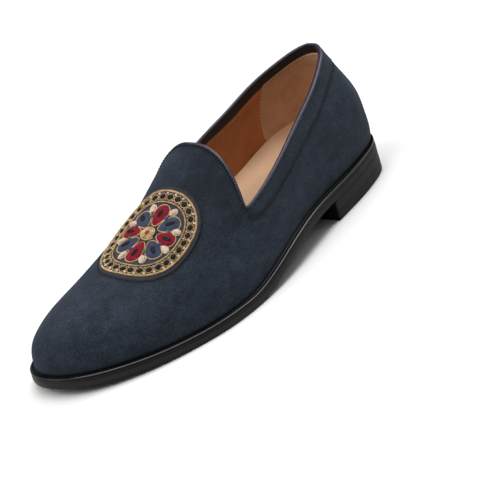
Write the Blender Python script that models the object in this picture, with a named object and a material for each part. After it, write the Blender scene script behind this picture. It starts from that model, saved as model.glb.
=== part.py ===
import bpy
import numpy as np

# Suede slipper loafer for the left foot, empty and standing on its sole.
# X runs from heel to toe, Y to the outer side of the foot, Z up from the floor.
# Sizes and tables are in millimetres, and the meshes are made in metres.
MM = 0.001
PIECE_GAP = 0.3

# The last: half widths of its feather edge and the ridge over the foot.
# Stations are fractions of the length. Ridge heights are above the feather edge.
LAST_LENGTH = 294.0
LAST_COLUMNS = ("station", "outer", "inner", "ridge_side", "ridge_height")
LAST_ROWS = (
    (0.00, 0.0, 0.0, 0.0, 80.0),
    (0.04, 21.4, 20.4, 0.0, 79.0),
    (0.10, 28.2, 27.6, 0.2, 79.0),
    (0.18, 33.3, 31.2, 0.5, 85.0),
    (0.30, 38.6, 29.8, 1.0, 85.5),
    (0.42, 46.3, 28.6, 1.0, 74.0),
    (0.52, 51.4, 33.0, 0.6, 67.7),
    (0.62, 53.4, 41.0, 0.0, 56.2),
    (0.70, 51.7, 46.8, -1.0, 46.5),
    (0.78, 45.5, 49.0, -3.0, 38.6),
    (0.86, 36.1, 46.7, -5.6, 33.0),
    (0.93, 23.4, 38.9, -8.2, 27.2),
    (0.97, 12.7, 30.6, -9.6, 22.2),
    (1.00, -10.4, 10.4, -10.4, 0.0),
)
SECTION_RISE_POWER = 2.4
SECTION_HEEL_POWER = 2.7
SECTION_SIDE_POWER = 2.0
SECTION_POWER_FROM = 0.3
SECTION_POWER_TO = 0.6

# Curve of the heel back: how far forward it stands at a height above the feather edge.
HEEL_BACK_COLUMNS = ("height", "forward")
HEEL_BACK_ROWS = (
    (0.0, -1.1),
    (8.0, -3.5),
    (18.0, -3.9),
    (30.0, -2.9),
    (45.0, 3.0),
    (60.0, 10.2),
    (75.0, 16.2),
    (110.0, 30.0),
)
HEEL_BACK_REACH = 110.0

# The inner wall swells over the hollow waist, and its top edge is a little higher there.
INNER_SWELL = 7.6
INNER_SWELL_X = 127.6
INNER_SWELL_REACH = 59.0
INNER_SWELL_RISE = 16.0
INNER_TOP_LIFT = 3.7
INNER_TOP_X = 106.5
INNER_TOP_REACH = 50.0

# Underside of the sole: heel seat, waist, flat tread and toe spring.
HEEL_SEAT_BACK = 13.7
HEEL_SEAT_FRONT = 12.6
HEEL_BREAST_X = 76.0
TREAD_FLAT_START = 185.5
TREAD_FLAT_END = 216.0
TOE_SPRING = 5.4
TOE_SPRING_POWER = 1.8
ARCH_LIFT = 3.0
ARCH_SHAPE = 16.0

OUTSOLE_THICK = 4.6
WELT_THICK = 2.4
SOLE_REACH = 3.2
FEATHER_LIFT = OUTSOLE_THICK + PIECE_GAP + WELT_THICK + PIECE_GAP

# Topline: the collar falls from the heel to a notch, and the tongue edge rises from there.
COLLAR_COLUMNS = ("station", "height")
COLLAR_BACK_HEIGHT = 87.6
COLLAR_ROWS = ((0.12, 81.4), (0.25, 70.8), (0.38, 59.7))
NOTCH_X = 156.5
NOTCH_HEIGHT = 49.8
NOTCH_COLUMN = 0.6
NOTCH_FOOT_X = 200.0
NOTCH_SOFTEN_PASSES = 2
TONGUE_TIP_X = 141.5
TONGUE_BOW = -1.7

UPPER_WALL = 2.0
UPPER_TUCK = 1.0
UPPER_TUCK_HEIGHT = 9.0
COLLAR_BAND_WIDTH = 11.0
COLLAR_BAND_STEP = 0.8
COLLAR_BAND_END = 0.61
COLLAR_BAND_END_RUN = 0.03
UPPER_COLUMNS = 54
BAND_ROWS = (0.0, 5.4, 10.6, 11.4)
BODY_ROWS = (0.11, 0.24, 0.39, 0.55, 0.7, 0.8, 0.87, 0.93, 0.97, 1.0)

PIPING_RADIUS = 1.0
PIPING_SIDES = 8
PIPING_SOFTEN_PASSES = 2

# Moulded insole: heights over the sole's underside along its middle and at its edge.
INSOLE_COLUMNS = ("station", "middle", "edge")
INSOLE_ROWS = (
    (0.00, 15.0, 25.0),
    (0.14, 15.0, 24.6),
    (0.22, 13.8, 20.9),
    (0.30, 12.4, 17.6),
    (0.42, 10.6, 13.8),
    (0.55, 9.2, 10.4),
    (0.70, 8.3, 8.6),
    (1.00, 7.9, 7.9),
)
INSOLE_DISH_POWER = 2.4
INSOLE_CUP_LENGTH = 24.0
INSOLE_WALL_GAP = 1.4
INSOLE_INSET = 4.4
INSOLE_ACROSS = 8
WELT_INNER_INSET = 3.0
HEEL_INSET = 0.4
HEEL_LIFT_THICK = 6.0
HEEL_RIB_COUNT = 9
HEEL_RIB_FIRST_X = 36.0
HEEL_RIB_PITCH = 4.4
HEEL_RIB_WIDTH = 1.8
HEEL_RIB_DEPTH = 1.2
HEEL_RIB_MARGIN = 7.0
SOLE_STATIONS = 36
SOLE_ACROSS = 4
SOLE_EDGE_ROUND = 0.8
SOLE_EDGE_BEVEL = 0.4
INSOLE_EDGE_ROUND = 0.6
WELT_SET_BACK = 0.2
WELT_EDGE_ROUND = 0.6
HEEL_EDGE_ROUND = 0.6
EDGE_SAMPLES = 121
RIDGE_SAMPLES = 400
SLOPE_NUDGE = 1e-4

# Oval badge on the vamp, laid along the ridge and bent to the upper.
BADGE_CENTRE_X = 201.0
BADGE_SIDE = 8.0
BADGE_LENGTH = 70.0
BADGE_WIDTH = 60.0
BADGE_ROUND_POWER = 2.4
BADGE_THICK = 1.2
BADGE_GAP = 0.75
BADGE_SPOKES = 28
BADGE_RINGS = (0.0, 0.25, 0.5, 0.75, 1.0)

MATERIAL_COLUMNS = ("name", "colour", "roughness")
MATERIAL_ROWS = (
    ("suede", (0.026, 0.037, 0.056), 0.9),
    ("piping_leather", (0.016, 0.015, 0.03), 0.45),
    ("insole_leather", (0.36, 0.2, 0.1), 0.5),
    ("sole_leather", (0.012, 0.012, 0.013), 0.45),
    ("welt_leather", (0.012, 0.012, 0.013), 0.4),
    ("heel_leather", (0.012, 0.012, 0.013), 0.4),
    ("heel_rubber", (0.02, 0.02, 0.02), 0.55),
    ("badge_felt", (0.035, 0.035, 0.042), 0.9),
)


class Curve:
    # natural cubic curve through two columns of a table
    def __init__(self, at, value):
        at = np.asarray(at, float)
        value = np.asarray(value, float)
        count = len(at)
        step = np.diff(at)
        rise = np.diff(value) / step
        terms = np.eye(count)
        right = np.zeros(count)
        for i in range(1, count - 1):
            terms[i, i - 1:i + 2] = step[i - 1], 2.0 * (step[i - 1] + step[i]), step[i]
            right[i] = 6.0 * (rise[i] - rise[i - 1])
        self.at = at
        self.value = value
        self.bend = np.linalg.solve(terms, right)

    def __call__(self, place):
        place = np.clip(np.asarray(place, float), self.at[0], self.at[-1])
        i = np.clip(np.searchsorted(self.at, place) - 1, 0, len(self.at) - 2)
        step = self.at[i + 1] - self.at[i]
        a = (self.at[i + 1] - place) / step
        b = 1.0 - a
        bent = (a ** 3 - a) * self.bend[i] + (b ** 3 - b) * self.bend[i + 1]
        return a * self.value[i] + b * self.value[i + 1] + bent * step ** 2 / 6.0


def turn_of(station):
    # stations as a half turn, so that the heel and toe ends come out round
    return np.arccos(1.0 - 2.0 * np.clip(station, 0.0, 1.0)) / np.pi


def smooth_step(value):
    value = np.clip(value, 0.0, 1.0)
    return value * value * (3.0 - 2.0 * value)


def window(x, middle, reach):
    # 1 at the middle, falling smoothly to 0 at the reach on both sides
    return np.cos(0.5 * np.pi * np.clip((x - middle) / reach, -1.0, 1.0)) ** 2


LAST = dict(zip(LAST_COLUMNS, np.array(LAST_ROWS).T))
HEEL_BACK = dict(zip(HEEL_BACK_COLUMNS, np.array(HEEL_BACK_ROWS).T))
LAST_TURN = turn_of(LAST["station"])
OUTER_HALF = Curve(LAST_TURN, LAST["outer"] - LAST["ridge_side"])
INNER_HALF = Curve(LAST_TURN, LAST["inner"] + LAST["ridge_side"])
RIDGE_HEIGHT = Curve(LAST_TURN, LAST["ridge_height"])
RIDGE_SIDE = Curve(LAST["station"], LAST["ridge_side"])
HEEL_FORWARD = Curve(HEEL_BACK["height"], HEEL_BACK["forward"])
INSOLE = dict(zip(INSOLE_COLUMNS, np.array(INSOLE_ROWS).T))
INSOLE_MIDDLE = Curve(INSOLE["station"], INSOLE["middle"])
INSOLE_EDGE = Curve(INSOLE["station"], INSOLE["edge"])


def ridge_side(x):
    return RIDGE_SIDE(x / LAST_LENGTH)


def ridge_height(x):
    return np.maximum(RIDGE_HEIGHT(turn_of(x / LAST_LENGTH)), 0.0)


def under(x):
    # underside of the outsole along the shoe
    x = np.asarray(x, float)
    slope = (HEEL_SEAT_FRONT - HEEL_SEAT_BACK) / HEEL_BREAST_X
    waist_run = TREAD_FLAT_START - HEEL_BREAST_X
    k = np.clip((TREAD_FLAT_START - x) / waist_run, 0.0, 1.0)
    waist = HEEL_SEAT_FRONT * (3.0 * k ** 2 - 2.0 * k ** 3)
    waist = waist - slope * waist_run * (k ** 3 - k ** 2)
    waist = waist + ARCH_LIFT * ARCH_SHAPE * (k * (1.0 - k)) ** 2
    toe_run = LAST_LENGTH + SOLE_REACH - TREAD_FLAT_END
    toe = TOE_SPRING * (np.maximum(x - TREAD_FLAT_END, 0.0) / toe_run) ** TOE_SPRING_POWER
    return np.where(x < HEEL_BREAST_X, HEEL_SEAT_BACK + slope * x, waist + toe)


def feather(x):
    return under(x) + FEATHER_LIFT


def half_width(x, z, side):
    # half width of the upper at a place in the side view, outer side +1, inner side -1
    rise = z - feather(x)
    fade = smooth_step(1.0 - x / HEEL_BACK_REACH)
    turn = turn_of((x - HEEL_FORWARD(rise) * fade) / LAST_LENGTH)
    half = np.maximum(OUTER_HALF(turn) if side > 0 else INNER_HALF(turn), 0.0)
    if side < 0:
        swell = INNER_SWELL * window(x, INNER_SWELL_X, INNER_SWELL_REACH)
        half = half + swell * np.sin(0.5 * np.pi * np.clip(rise / INNER_SWELL_RISE, 0.0, 1.0))
    share = np.clip(rise / np.maximum(ridge_height(x), PIECE_GAP), 0.0, 1.0)
    ends = (SECTION_POWER_FROM, SECTION_POWER_TO)
    power = np.interp(x / LAST_LENGTH, ends, (SECTION_HEEL_POWER, SECTION_RISE_POWER))
    return half * (1.0 - share ** power) ** (1.0 / SECTION_SIDE_POWER)


def on_form(x, z, side):
    y = ridge_side(x) + side * half_width(x, z, side)
    return np.stack([x, y, z], axis=-1)


def topline(place, side):
    # side view of the top edge, from the heel back at 0 over the notch to the tongue tip at 1
    back_x = float(HEEL_FORWARD(COLLAR_BACK_HEIGHT - feather(0.0)))
    rows = dict(zip(COLLAR_COLUMNS, np.array(COLLAR_ROWS).T))
    at = np.concatenate([[back_x], rows["station"] * LAST_LENGTH, [NOTCH_X]])
    height = np.concatenate([[COLLAR_BACK_HEIGHT], rows["height"], [NOTCH_HEIGHT]])
    q = np.clip(place / NOTCH_COLUMN, 0.0, 1.0)
    collar_x = back_x + (NOTCH_X - back_x) * (1.0 - np.cos(0.5 * np.pi * q))
    collar_z = Curve(at, height)(collar_x)
    if side < 0:
        collar_z = collar_z + INNER_TOP_LIFT * window(collar_x, INNER_TOP_X, INNER_TOP_REACH)
    r = np.clip((place - NOTCH_COLUMN) / (1.0 - NOTCH_COLUMN), 0.0, 1.0)
    tongue_x = NOTCH_X + (TONGUE_TIP_X - NOTCH_X) * np.sin(0.5 * np.pi * r)
    tongue_x = tongue_x + TONGUE_BOW * np.sin(np.pi * r)
    start = np.arcsin((NOTCH_HEIGHT - feather(NOTCH_X)) / ridge_height(NOTCH_X))
    share = np.sin(start + (0.5 * np.pi - start) * r)
    tongue_z = feather(tongue_x) + ridge_height(tongue_x) * share
    on_collar = place <= NOTCH_COLUMN
    edge = np.stack([np.where(on_collar, collar_x, tongue_x), np.where(on_collar, collar_z, tongue_z)], 1)
    for _ in range(NOTCH_SOFTEN_PASSES):
        edge[1:-1] = 0.25 * edge[:-2] + 0.5 * edge[1:-1] + 0.25 * edge[2:]
    return edge


def even_along(points, count):
    run = np.concatenate([[0.0], np.cumsum(np.linalg.norm(np.diff(points, axis=0), axis=1))])
    want = np.linspace(0.0, run[-1], count)
    return np.stack([np.interp(want, run, points[:, k]) for k in range(points.shape[1])], 1)


def side_sheet(side, columns):
    # blend of four edges in the side view: topline, heel back, feather line and ridge
    fine = EDGE_SAMPLES
    place = np.linspace(0.0, 1.0, columns + 1)
    top = topline(place, side)
    foot_turn = float(turn_of(NOTCH_FOOT_X / LAST_LENGTH))
    lean = (foot_turn - NOTCH_COLUMN) / np.sin(np.pi * NOTCH_COLUMN)
    turn = place + lean * np.sin(np.pi * place)
    share = 0.5 - 0.5 * np.cos(np.pi * turn)
    foot_x = float(HEEL_FORWARD(0.0)) * (1.0 - share) + LAST_LENGTH * share
    foot = np.stack([foot_x, feather(foot_x)], 1)
    back_z = np.linspace(top[0, 1], foot[0, 1], fine)
    back_x = HEEL_FORWARD(back_z - feather(back_z * 0.0))
    back = even_along(np.stack([back_x, back_z], 1), fine)
    ridge_turn = np.linspace(float(turn_of(TONGUE_TIP_X / LAST_LENGTH)), 1.0, fine)
    ridge_x = LAST_LENGTH * (0.5 - 0.5 * np.cos(np.pi * ridge_turn))
    ridge = even_along(np.stack([ridge_x, feather(ridge_x) + ridge_height(ridge_x)], 1), fine)
    v = np.linspace(0.0, 1.0, fine)[None, :, None]
    s = share[:, None, None]
    sheet = (1.0 - v) * top[:, None] + v * foot[:, None] + (1.0 - s) * back[None] + s * ridge[None]
    sheet = sheet - (1.0 - s) * ((1.0 - v) * top[0] + v * foot[0])
    sheet = sheet - s * ((1.0 - v) * top[-1] + v * foot[-1])
    surface = on_form(sheet[..., 0], sheet[..., 1], side)
    step = np.linalg.norm(np.diff(surface, axis=1), axis=2)
    run = np.concatenate([np.zeros((columns + 1, 1)), np.cumsum(step, axis=1)], axis=1)
    band = np.array(BAND_ROWS)
    body = np.array(BODY_ROWS)
    rows = []
    for i in range(columns + 1):
        want = np.concatenate([band, band[-1] + (run[i, -1] - band[-1]) * body])
        x = np.interp(want, run[i], sheet[i, :, 0])
        z = np.interp(want, run[i], sheet[i, :, 1])
        rows.append(on_form(x, z, side))
    return np.array(rows)


def upper_form():
    # outer sheet, then the inner one backwards, as one ring from the heel back round the toe
    outer = side_sheet(1, UPPER_COLUMNS)
    inner = side_sheet(-1, UPPER_COLUMNS)
    form = np.concatenate([outer, inner[-2:0:-1]])
    return form, grid_normals(form)


def grid_normals(form):
    # outward unit normals of a sheet that closes on itself along its first axis
    along = np.roll(form, -1, 0) - np.roll(form, 1, 0)
    down = np.gradient(form, axis=1)
    normal = np.cross(along, down)
    return normal / np.linalg.norm(normal, axis=2, keepdims=True)


def upper_skins():
    form, normal = upper_form()
    count = len(form)
    place = np.minimum(np.arange(count), count - np.arange(count)) / UPPER_COLUMNS
    depth = np.concatenate([np.array(BAND_ROWS), np.full(len(BODY_ROWS), np.inf)])
    ahead = smooth_step((COLLAR_BAND_END - place) / COLLAR_BAND_END_RUN)
    step = COLLAR_BAND_STEP * ahead[:, None] * (depth < COLLAR_BAND_WIDTH)[None]
    rise = form[..., 2] - feather(form[..., 0])
    tuck = UPPER_TUCK * np.clip(1.0 - rise / UPPER_TUCK_HEIGHT, 0.0, 1.0) ** 2
    outside = form + normal * (step - tuck)[..., None]
    inside = form - normal * (UPPER_WALL + tuck)[..., None]
    outside[:, -1, 2] = feather(outside[:, -1, 0])
    inside[:, -1, 2] = feather(inside[:, -1, 0])
    return outside, inside


def last_outline(grow, turns):
    # outer and inner edge points of the feather outline, grown outward by a margin
    x = LAST_LENGTH * (0.5 - 0.5 * np.cos(np.pi * turns))
    edges = []
    for side, half in ((1, OUTER_HALF), (-1, INNER_HALF)):
        low = np.maximum(turns - SLOPE_NUDGE, 0.0)
        high = np.minimum(turns + SLOPE_NUDGE, 1.0)
        ends = []
        for turn in (low, high):
            at = LAST_LENGTH * (0.5 - 0.5 * np.cos(np.pi * turn))
            ends.append(np.stack([at, ridge_side(at) + side * half(turn)], 1))
        along = ends[1] - ends[0]
        normal = np.stack([-along[:, 1], along[:, 0]], 1) * side
        normal = normal / np.linalg.norm(normal, axis=1, keepdims=True)
        normal[turns <= 0.0] = (-1.0, 0.0)
        normal[turns >= 1.0] = (1.0, 0.0)
        edge = np.stack([x, ridge_side(x) + side * half(turns)], 1)
        edges.append(edge + normal * grow)
    return edges


def wall_outline(rise, inset, turns):
    # outer and inner edge points of the upper at heights over the feather edge, moved inward
    at = LAST_LENGTH * (0.5 - 0.5 * np.cos(np.pi * turns))
    x = at + HEEL_FORWARD(rise) * smooth_step(1.0 - at / HEEL_BACK_REACH)
    edges = []
    for side in (1, -1):
        edge = on_form(x, feather(x) + rise, side)[:, :2]
        along = np.gradient(edge, axis=0)
        normal = np.stack([-along[:, 1], along[:, 0]], 1) * side
        normal = normal / np.linalg.norm(normal, axis=1, keepdims=True)
        normal[0] = (-1.0, 0.0)
        normal[-1] = (1.0, 0.0)
        edge[0, 1] = ridge_side(x[0])
        edges.append(edge - normal * np.asarray(inset)[..., None])
    return edges


def slab(rings, turns, splits):
    # closed slab from rings of outline edges and heights, lowest first
    pointed = turns[-1] >= 1.0
    across = np.linspace(0.0, 1.0, splits + 1)
    loops = []
    for (outer, inner), height in rings:
        if not pointed:
            outer[:, 0] = np.minimum(outer[:, 0], HEEL_BREAST_X)
            inner[:, 0] = np.minimum(inner[:, 0], HEEL_BREAST_X)
            outer[-1, 0] = HEEL_BREAST_X
            inner[-1, 0] = HEEL_BREAST_X
        loops.append((outer, inner, height))
    verts = []
    index = {}

    def vertex(key, point):
        if key not in index:
            index[key] = len(verts)
            verts.append(point)
        return index[key]

    last = len(turns) - 1

    def grid_vertex(ring, i, j):
        # the ends of the outline are single points
        single = i == 0 or (i == last and pointed)
        outer, inner, height = loops[ring]
        share = 0.0 if single else across[j]
        flat = outer[i] * (1.0 - share) + inner[i] * share
        key = (ring, i, 0 if single else j)
        return vertex(key, (flat[0], flat[1], float(height(flat[0], share))))

    faces = []
    top = len(rings) - 1
    for ring in (0, top):
        for i in range(last):
            for j in range(splits):
                quad = [grid_vertex(ring, i, j), grid_vertex(ring, i + 1, j)]
                quad += [grid_vertex(ring, i + 1, j + 1), grid_vertex(ring, i, j + 1)]
                faces.append(quad if ring == 0 else quad[::-1])
    for ring in range(top):
        for i in range(last):
            for j in (0, splits):
                quad = [grid_vertex(ring, i, j), grid_vertex(ring + 1, i, j)]
                quad += [grid_vertex(ring + 1, i + 1, j), grid_vertex(ring, i + 1, j)]
                faces.append(quad if j == 0 else quad[::-1])
        if not pointed:
            for j in range(splits):
                quad = [grid_vertex(ring, last, j), grid_vertex(ring + 1, last, j)]
                quad += [grid_vertex(ring + 1, last, j + 1), grid_vertex(ring, last, j + 1)]
                faces.append(quad)
    tidy = []
    for quad in faces:
        kept = [v for k, v in enumerate(quad) if v != quad[k - 1]]
        tidy.append(kept)
    return np.array(verts), tidy


def wrapped_faces(rings, around, closed_rings):
    # quads of a ring by ring grid that closes around, and from ring to ring when asked
    faces = []
    for i in range(rings if closed_rings else rings - 1):
        n = (i + 1) % rings
        for j in range(around):
            m = (j + 1) % around
            faces.append([i * around + j, n * around + j, n * around + m, i * around + m])
    return faces


def make_piece(name, verts, faces, material):
    mesh = bpy.data.meshes.new(name)
    mesh.from_pydata((np.asarray(verts) * MM).tolist(), [], faces)
    mesh.validate()
    mesh.materials.append(material)
    piece = bpy.data.objects.new(name, mesh)
    bpy.context.scene.collection.objects.link(piece)
    return piece


def make_material(name):
    rows = [dict(zip(MATERIAL_COLUMNS, row)) for row in MATERIAL_ROWS]
    look = next(row for row in rows if row["name"] == name)
    material = bpy.data.materials.new(name)
    material.use_nodes = True
    shader = material.node_tree.nodes["Principled BSDF"]
    shader.inputs["Base Color"].default_value = (*look["colour"], 1.0)
    shader.inputs["Roughness"].default_value = look["roughness"]
    shader.inputs["Metallic"].default_value = 0.0
    return material


def build_upper():
    outside, inside = upper_skins()
    rings = len(outside)
    loop = np.concatenate([outside, inside[:, ::-1]], axis=1)
    faces = wrapped_faces(rings, loop.shape[1], True)
    return make_piece("upper", loop.reshape(-1, 3), faces, make_material("suede"))


def build_piping():
    # round cord that rides over the top edge all the way round
    outside, inside = upper_skins()
    form, _ = upper_form()
    edge = 0.5 * (outside[:, 0] + inside[:, 0])
    up = form[:, 0] - form[:, 1]
    along = np.roll(edge, -1, 0) - np.roll(edge, 1, 0)
    along /= np.linalg.norm(along, axis=1, keepdims=True)
    up -= along * np.sum(up * along, axis=1, keepdims=True)
    up /= np.linalg.norm(up, axis=1, keepdims=True)
    path = edge + up * (PIPING_RADIUS + PIECE_GAP)
    for _ in range(PIPING_SOFTEN_PASSES):
        path = 0.25 * np.roll(path, 1, 0) + 0.5 * path + 0.25 * np.roll(path, -1, 0)
    path = path + up * PIECE_GAP
    along = np.roll(path, -1, 0) - np.roll(path, 1, 0)
    along /= np.linalg.norm(along, axis=1, keepdims=True)
    up -= along * np.sum(up * along, axis=1, keepdims=True)
    up /= np.linalg.norm(up, axis=1, keepdims=True)
    aside = np.cross(along, up)
    angle = np.linspace(0.0, 2.0 * np.pi, PIPING_SIDES, endpoint=False)[None, :, None]
    tube = path[:, None] + PIPING_RADIUS * (np.cos(angle) * up[:, None] + np.sin(angle) * aside[:, None])
    faces = [quad[::-1] for quad in wrapped_faces(len(path), PIPING_SIDES, True)]
    return make_piece("topline_piping", tube.reshape(-1, 3), faces, make_material("piping_leather"))


def above_under(lift):
    return lambda x, share: under(x) + lift


def level(height):
    return lambda x, share: height


def build_outsole():
    turns = np.linspace(0.0, 1.0, SOLE_STATIONS + 1)
    rings = (
        (last_outline(SOLE_REACH - SOLE_EDGE_ROUND, turns), above_under(0.0)),
        (last_outline(SOLE_REACH, turns), above_under(SOLE_EDGE_ROUND)),
        (last_outline(SOLE_REACH, turns), above_under(OUTSOLE_THICK - SOLE_EDGE_BEVEL)),
        (last_outline(SOLE_REACH - SOLE_EDGE_BEVEL, turns), above_under(OUTSOLE_THICK)),
    )
    verts, faces = slab(rings, turns, SOLE_ACROSS)
    return make_piece("outsole", verts, faces, make_material("sole_leather"))


def insole_edge(x):
    return INSOLE_EDGE(x / LAST_LENGTH)


def insole_top(x, share):
    # dished across, and cupped at the heel end
    middle = INSOLE_MIDDLE(x / LAST_LENGTH)
    aside = np.abs(2.0 * share - 1.0) ** INSOLE_DISH_POWER
    cup = np.clip(1.0 - x / INSOLE_CUP_LENGTH, 0.0, 1.0) ** INSOLE_DISH_POWER
    return under(x) + middle + (insole_edge(x) - middle) * (aside + cup - aside * cup)


def build_insole():
    # flat below, on the sole; its sides lean out to the upper's wall
    turns = np.linspace(0.0, 1.0, SOLE_STATIONS + 1)
    base = OUTSOLE_THICK + PIECE_GAP
    at = LAST_LENGTH * (0.5 - 0.5 * np.cos(np.pi * turns))
    rise = insole_edge(at) - FEATHER_LIFT
    tuck = UPPER_TUCK * np.clip(1.0 - rise / UPPER_TUCK_HEIGHT, 0.0, 1.0) ** 2
    inset = UPPER_WALL + tuck + INSOLE_WALL_GAP
    side = wall_outline(rise, inset, turns)
    brow = wall_outline(rise, inset + INSOLE_EDGE_ROUND, turns)
    foot = last_outline(-INSOLE_INSET, turns)

    def waist_height(x, share):
        return under(x) + np.minimum(FEATHER_LIFT, insole_edge(x) - 2.0 * INSOLE_EDGE_ROUND)

    def side_height(x, share):
        return under(x) + insole_edge(x) - INSOLE_EDGE_ROUND

    rings = (
        (foot, above_under(base)),
        (foot, waist_height),
        (side, side_height),
        (brow, insole_top),
    )
    verts, faces = slab(rings, turns, INSOLE_ACROSS)
    return make_piece("insole", verts, faces, make_material("insole_leather"))


def build_welt():
    # rounded strip under the edge of the upper, all round the shoe
    turns = np.linspace(0.0, 1.0, SOLE_STATIONS + 1)
    base = OUTSOLE_THICK + PIECE_GAP
    reach = SOLE_REACH - WELT_SET_BACK
    profile_columns = ("margin", "lift")
    profile_rows = (
        (-WELT_INNER_INSET, 0.0),
        (reach - WELT_EDGE_ROUND, 0.0),
        (reach, WELT_EDGE_ROUND),
        (reach, WELT_THICK - WELT_EDGE_ROUND),
        (reach - WELT_EDGE_ROUND, WELT_THICK),
        (-WELT_INNER_INSET, WELT_THICK),
    )
    profile = dict(zip(profile_columns, np.array(profile_rows).T))
    loops = []
    for margin, lift in zip(profile["margin"], profile["lift"]):
        outer, inner = last_outline(margin, turns)
        flat = np.concatenate([outer, inner[-2:0:-1]])
        loops.append(np.column_stack([flat, under(flat[:, 0]) + base + lift]))
    ring = np.stack(loops, axis=1)
    faces = [quad[::-1] for quad in wrapped_faces(len(ring), len(profile_rows), True)]
    return make_piece("welt", ring.reshape(-1, 3), faces, make_material("welt_leather"))


def heel_turns():
    breast = float(turn_of(HEEL_BREAST_X / LAST_LENGTH))
    return np.linspace(0.0, breast, SOLE_STATIONS // 2 + 1)


def build_heel_block():
    margin = SOLE_REACH - HEEL_INSET
    turns = heel_turns()
    rings = (
        (last_outline(margin, turns), level(HEEL_LIFT_THICK + PIECE_GAP)),
        (last_outline(margin, turns), above_under(-PIECE_GAP)),
    )
    verts, faces = slab(rings, turns, SOLE_ACROSS)
    return make_piece("heel_block", verts, faces, make_material("heel_leather"))


def build_heel_lift():
    # rubber top piece with a patch of grooves across its front half
    margin = SOLE_REACH - HEEL_INSET
    turns = heel_turns()
    rings = (
        (last_outline(margin - HEEL_EDGE_ROUND, turns), level(0.0)),
        (last_outline(margin, turns), level(HEEL_EDGE_ROUND)),
        (last_outline(margin, turns), level(HEEL_LIFT_THICK)),
    )
    verts, faces = slab(rings, turns, SOLE_ACROSS)
    lift = make_piece("heel_lift", verts, faces, make_material("heel_rubber"))
    corners = np.array([(a, b, c) for a in (-1, 1) for b in (-1, 1) for c in (-1, 1)], float)
    sides = ((0, 1, 3, 2), (4, 6, 7, 5), (0, 4, 5, 1), (2, 3, 7, 6), (0, 2, 6, 4), (1, 5, 7, 3))
    cut_verts = []
    cut_faces = []
    for k in range(HEEL_RIB_COUNT):
        x = HEEL_RIB_FIRST_X + HEEL_RIB_PITCH * k
        turn = turn_of(np.array([x]) / LAST_LENGTH)
        outer, inner = last_outline(margin - HEEL_RIB_MARGIN, turn)
        middle = 0.5 * (outer[0, 1] + inner[0, 1])
        half = np.array([0.5 * HEEL_RIB_WIDTH, 0.5 * (outer[0, 1] - inner[0, 1]), HEEL_RIB_DEPTH])
        cut_faces += [[8 * k + v for v in quad] for quad in sides]
        cut_verts.append(np.array([x, middle, 0.0]) + corners * half)
    cutter = make_piece("heel_groove_cutter", np.concatenate(cut_verts), cut_faces, lift.data.materials[0])
    cutter.hide_render = True
    cutter.display_type = "WIRE"
    cut = lift.modifiers.new("grooves", "BOOLEAN")
    cut.operation = "DIFFERENCE"
    cut.solver = "EXACT"
    cut.object = cutter
    return lift


def badge_points(along, across):
    # places on the upper from a distance along the ridge and one across it, outer side positive
    x = np.linspace(TONGUE_TIP_X, LAST_LENGTH, RIDGE_SAMPLES)
    ridge = np.stack([x, ridge_side(x), feather(x) + ridge_height(x)], 1)
    run = np.concatenate([[0.0], np.cumsum(np.linalg.norm(np.diff(ridge, axis=0), axis=1))])
    at = np.interp(np.interp(BADGE_CENTRE_X, x, run) + along, run, x)
    angle = np.linspace(0.0, 0.5 * np.pi, RIDGE_SAMPLES)
    points = []
    for section_x, reach in zip(at, across):
        side = 1 if reach >= 0.0 else -1
        z = feather(section_x) + ridge_height(section_x) * np.cos(angle)
        section = on_form(np.full(RIDGE_SAMPLES, section_x), z, side)
        far = np.concatenate([[0.0], np.cumsum(np.linalg.norm(np.diff(section, axis=0), axis=1))])
        points.append([np.interp(abs(reach), far, section[:, k]) for k in range(3)])
    return np.array(points)


def build_badge():
    # full oval with softened corners, in rings round its middle
    turn = np.linspace(0.0, 2.0 * np.pi, BADGE_SPOKES, endpoint=False)
    fullness = 2.0 / BADGE_ROUND_POWER
    rim_along = 0.5 * BADGE_LENGTH * np.sign(np.cos(turn)) * np.abs(np.cos(turn)) ** fullness
    rim_across = 0.5 * BADGE_WIDTH * np.sign(np.sin(turn)) * np.abs(np.sin(turn)) ** fullness
    along = [np.zeros(1)] + [rim_along * r for r in BADGE_RINGS[1:]]
    across = [np.zeros(1)] + [rim_across * r for r in BADGE_RINGS[1:]]
    along = np.concatenate(along)
    across = np.concatenate(across) + BADGE_SIDE
    middle = badge_points(along, across)
    ahead = badge_points(along + PIECE_GAP, across) - badge_points(along - PIECE_GAP, across)
    aside = badge_points(along, across + PIECE_GAP) - badge_points(along, across - PIECE_GAP)
    normal = np.cross(ahead, aside)
    normal /= np.linalg.norm(normal, axis=1, keepdims=True)
    low = middle + normal * BADGE_GAP
    high = low + normal * BADGE_THICK
    count = len(middle)
    faces = []
    for skin in (0, 1):
        for j in range(BADGE_SPOKES):
            m = (j + 1) % BADGE_SPOKES
            fan = [skin * count, skin * count + 1 + j, skin * count + 1 + m]
            faces.append(fan if skin else fan[::-1])
            for ring in range(len(BADGE_RINGS) - 2):
                a = skin * count + 1 + ring * BADGE_SPOKES
                b = a + BADGE_SPOKES
                quad = [a + j, b + j, b + m, a + m]
                faces.append(quad if skin else quad[::-1])
    rim = 1 + (len(BADGE_RINGS) - 2) * BADGE_SPOKES
    for j in range(BADGE_SPOKES):
        m = (j + 1) % BADGE_SPOKES
        faces.append([rim + j, rim + m, count + rim + m, count + rim + j])
    return make_piece("vamp_badge", np.concatenate([low, high]), faces, make_material("badge_felt"))


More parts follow.
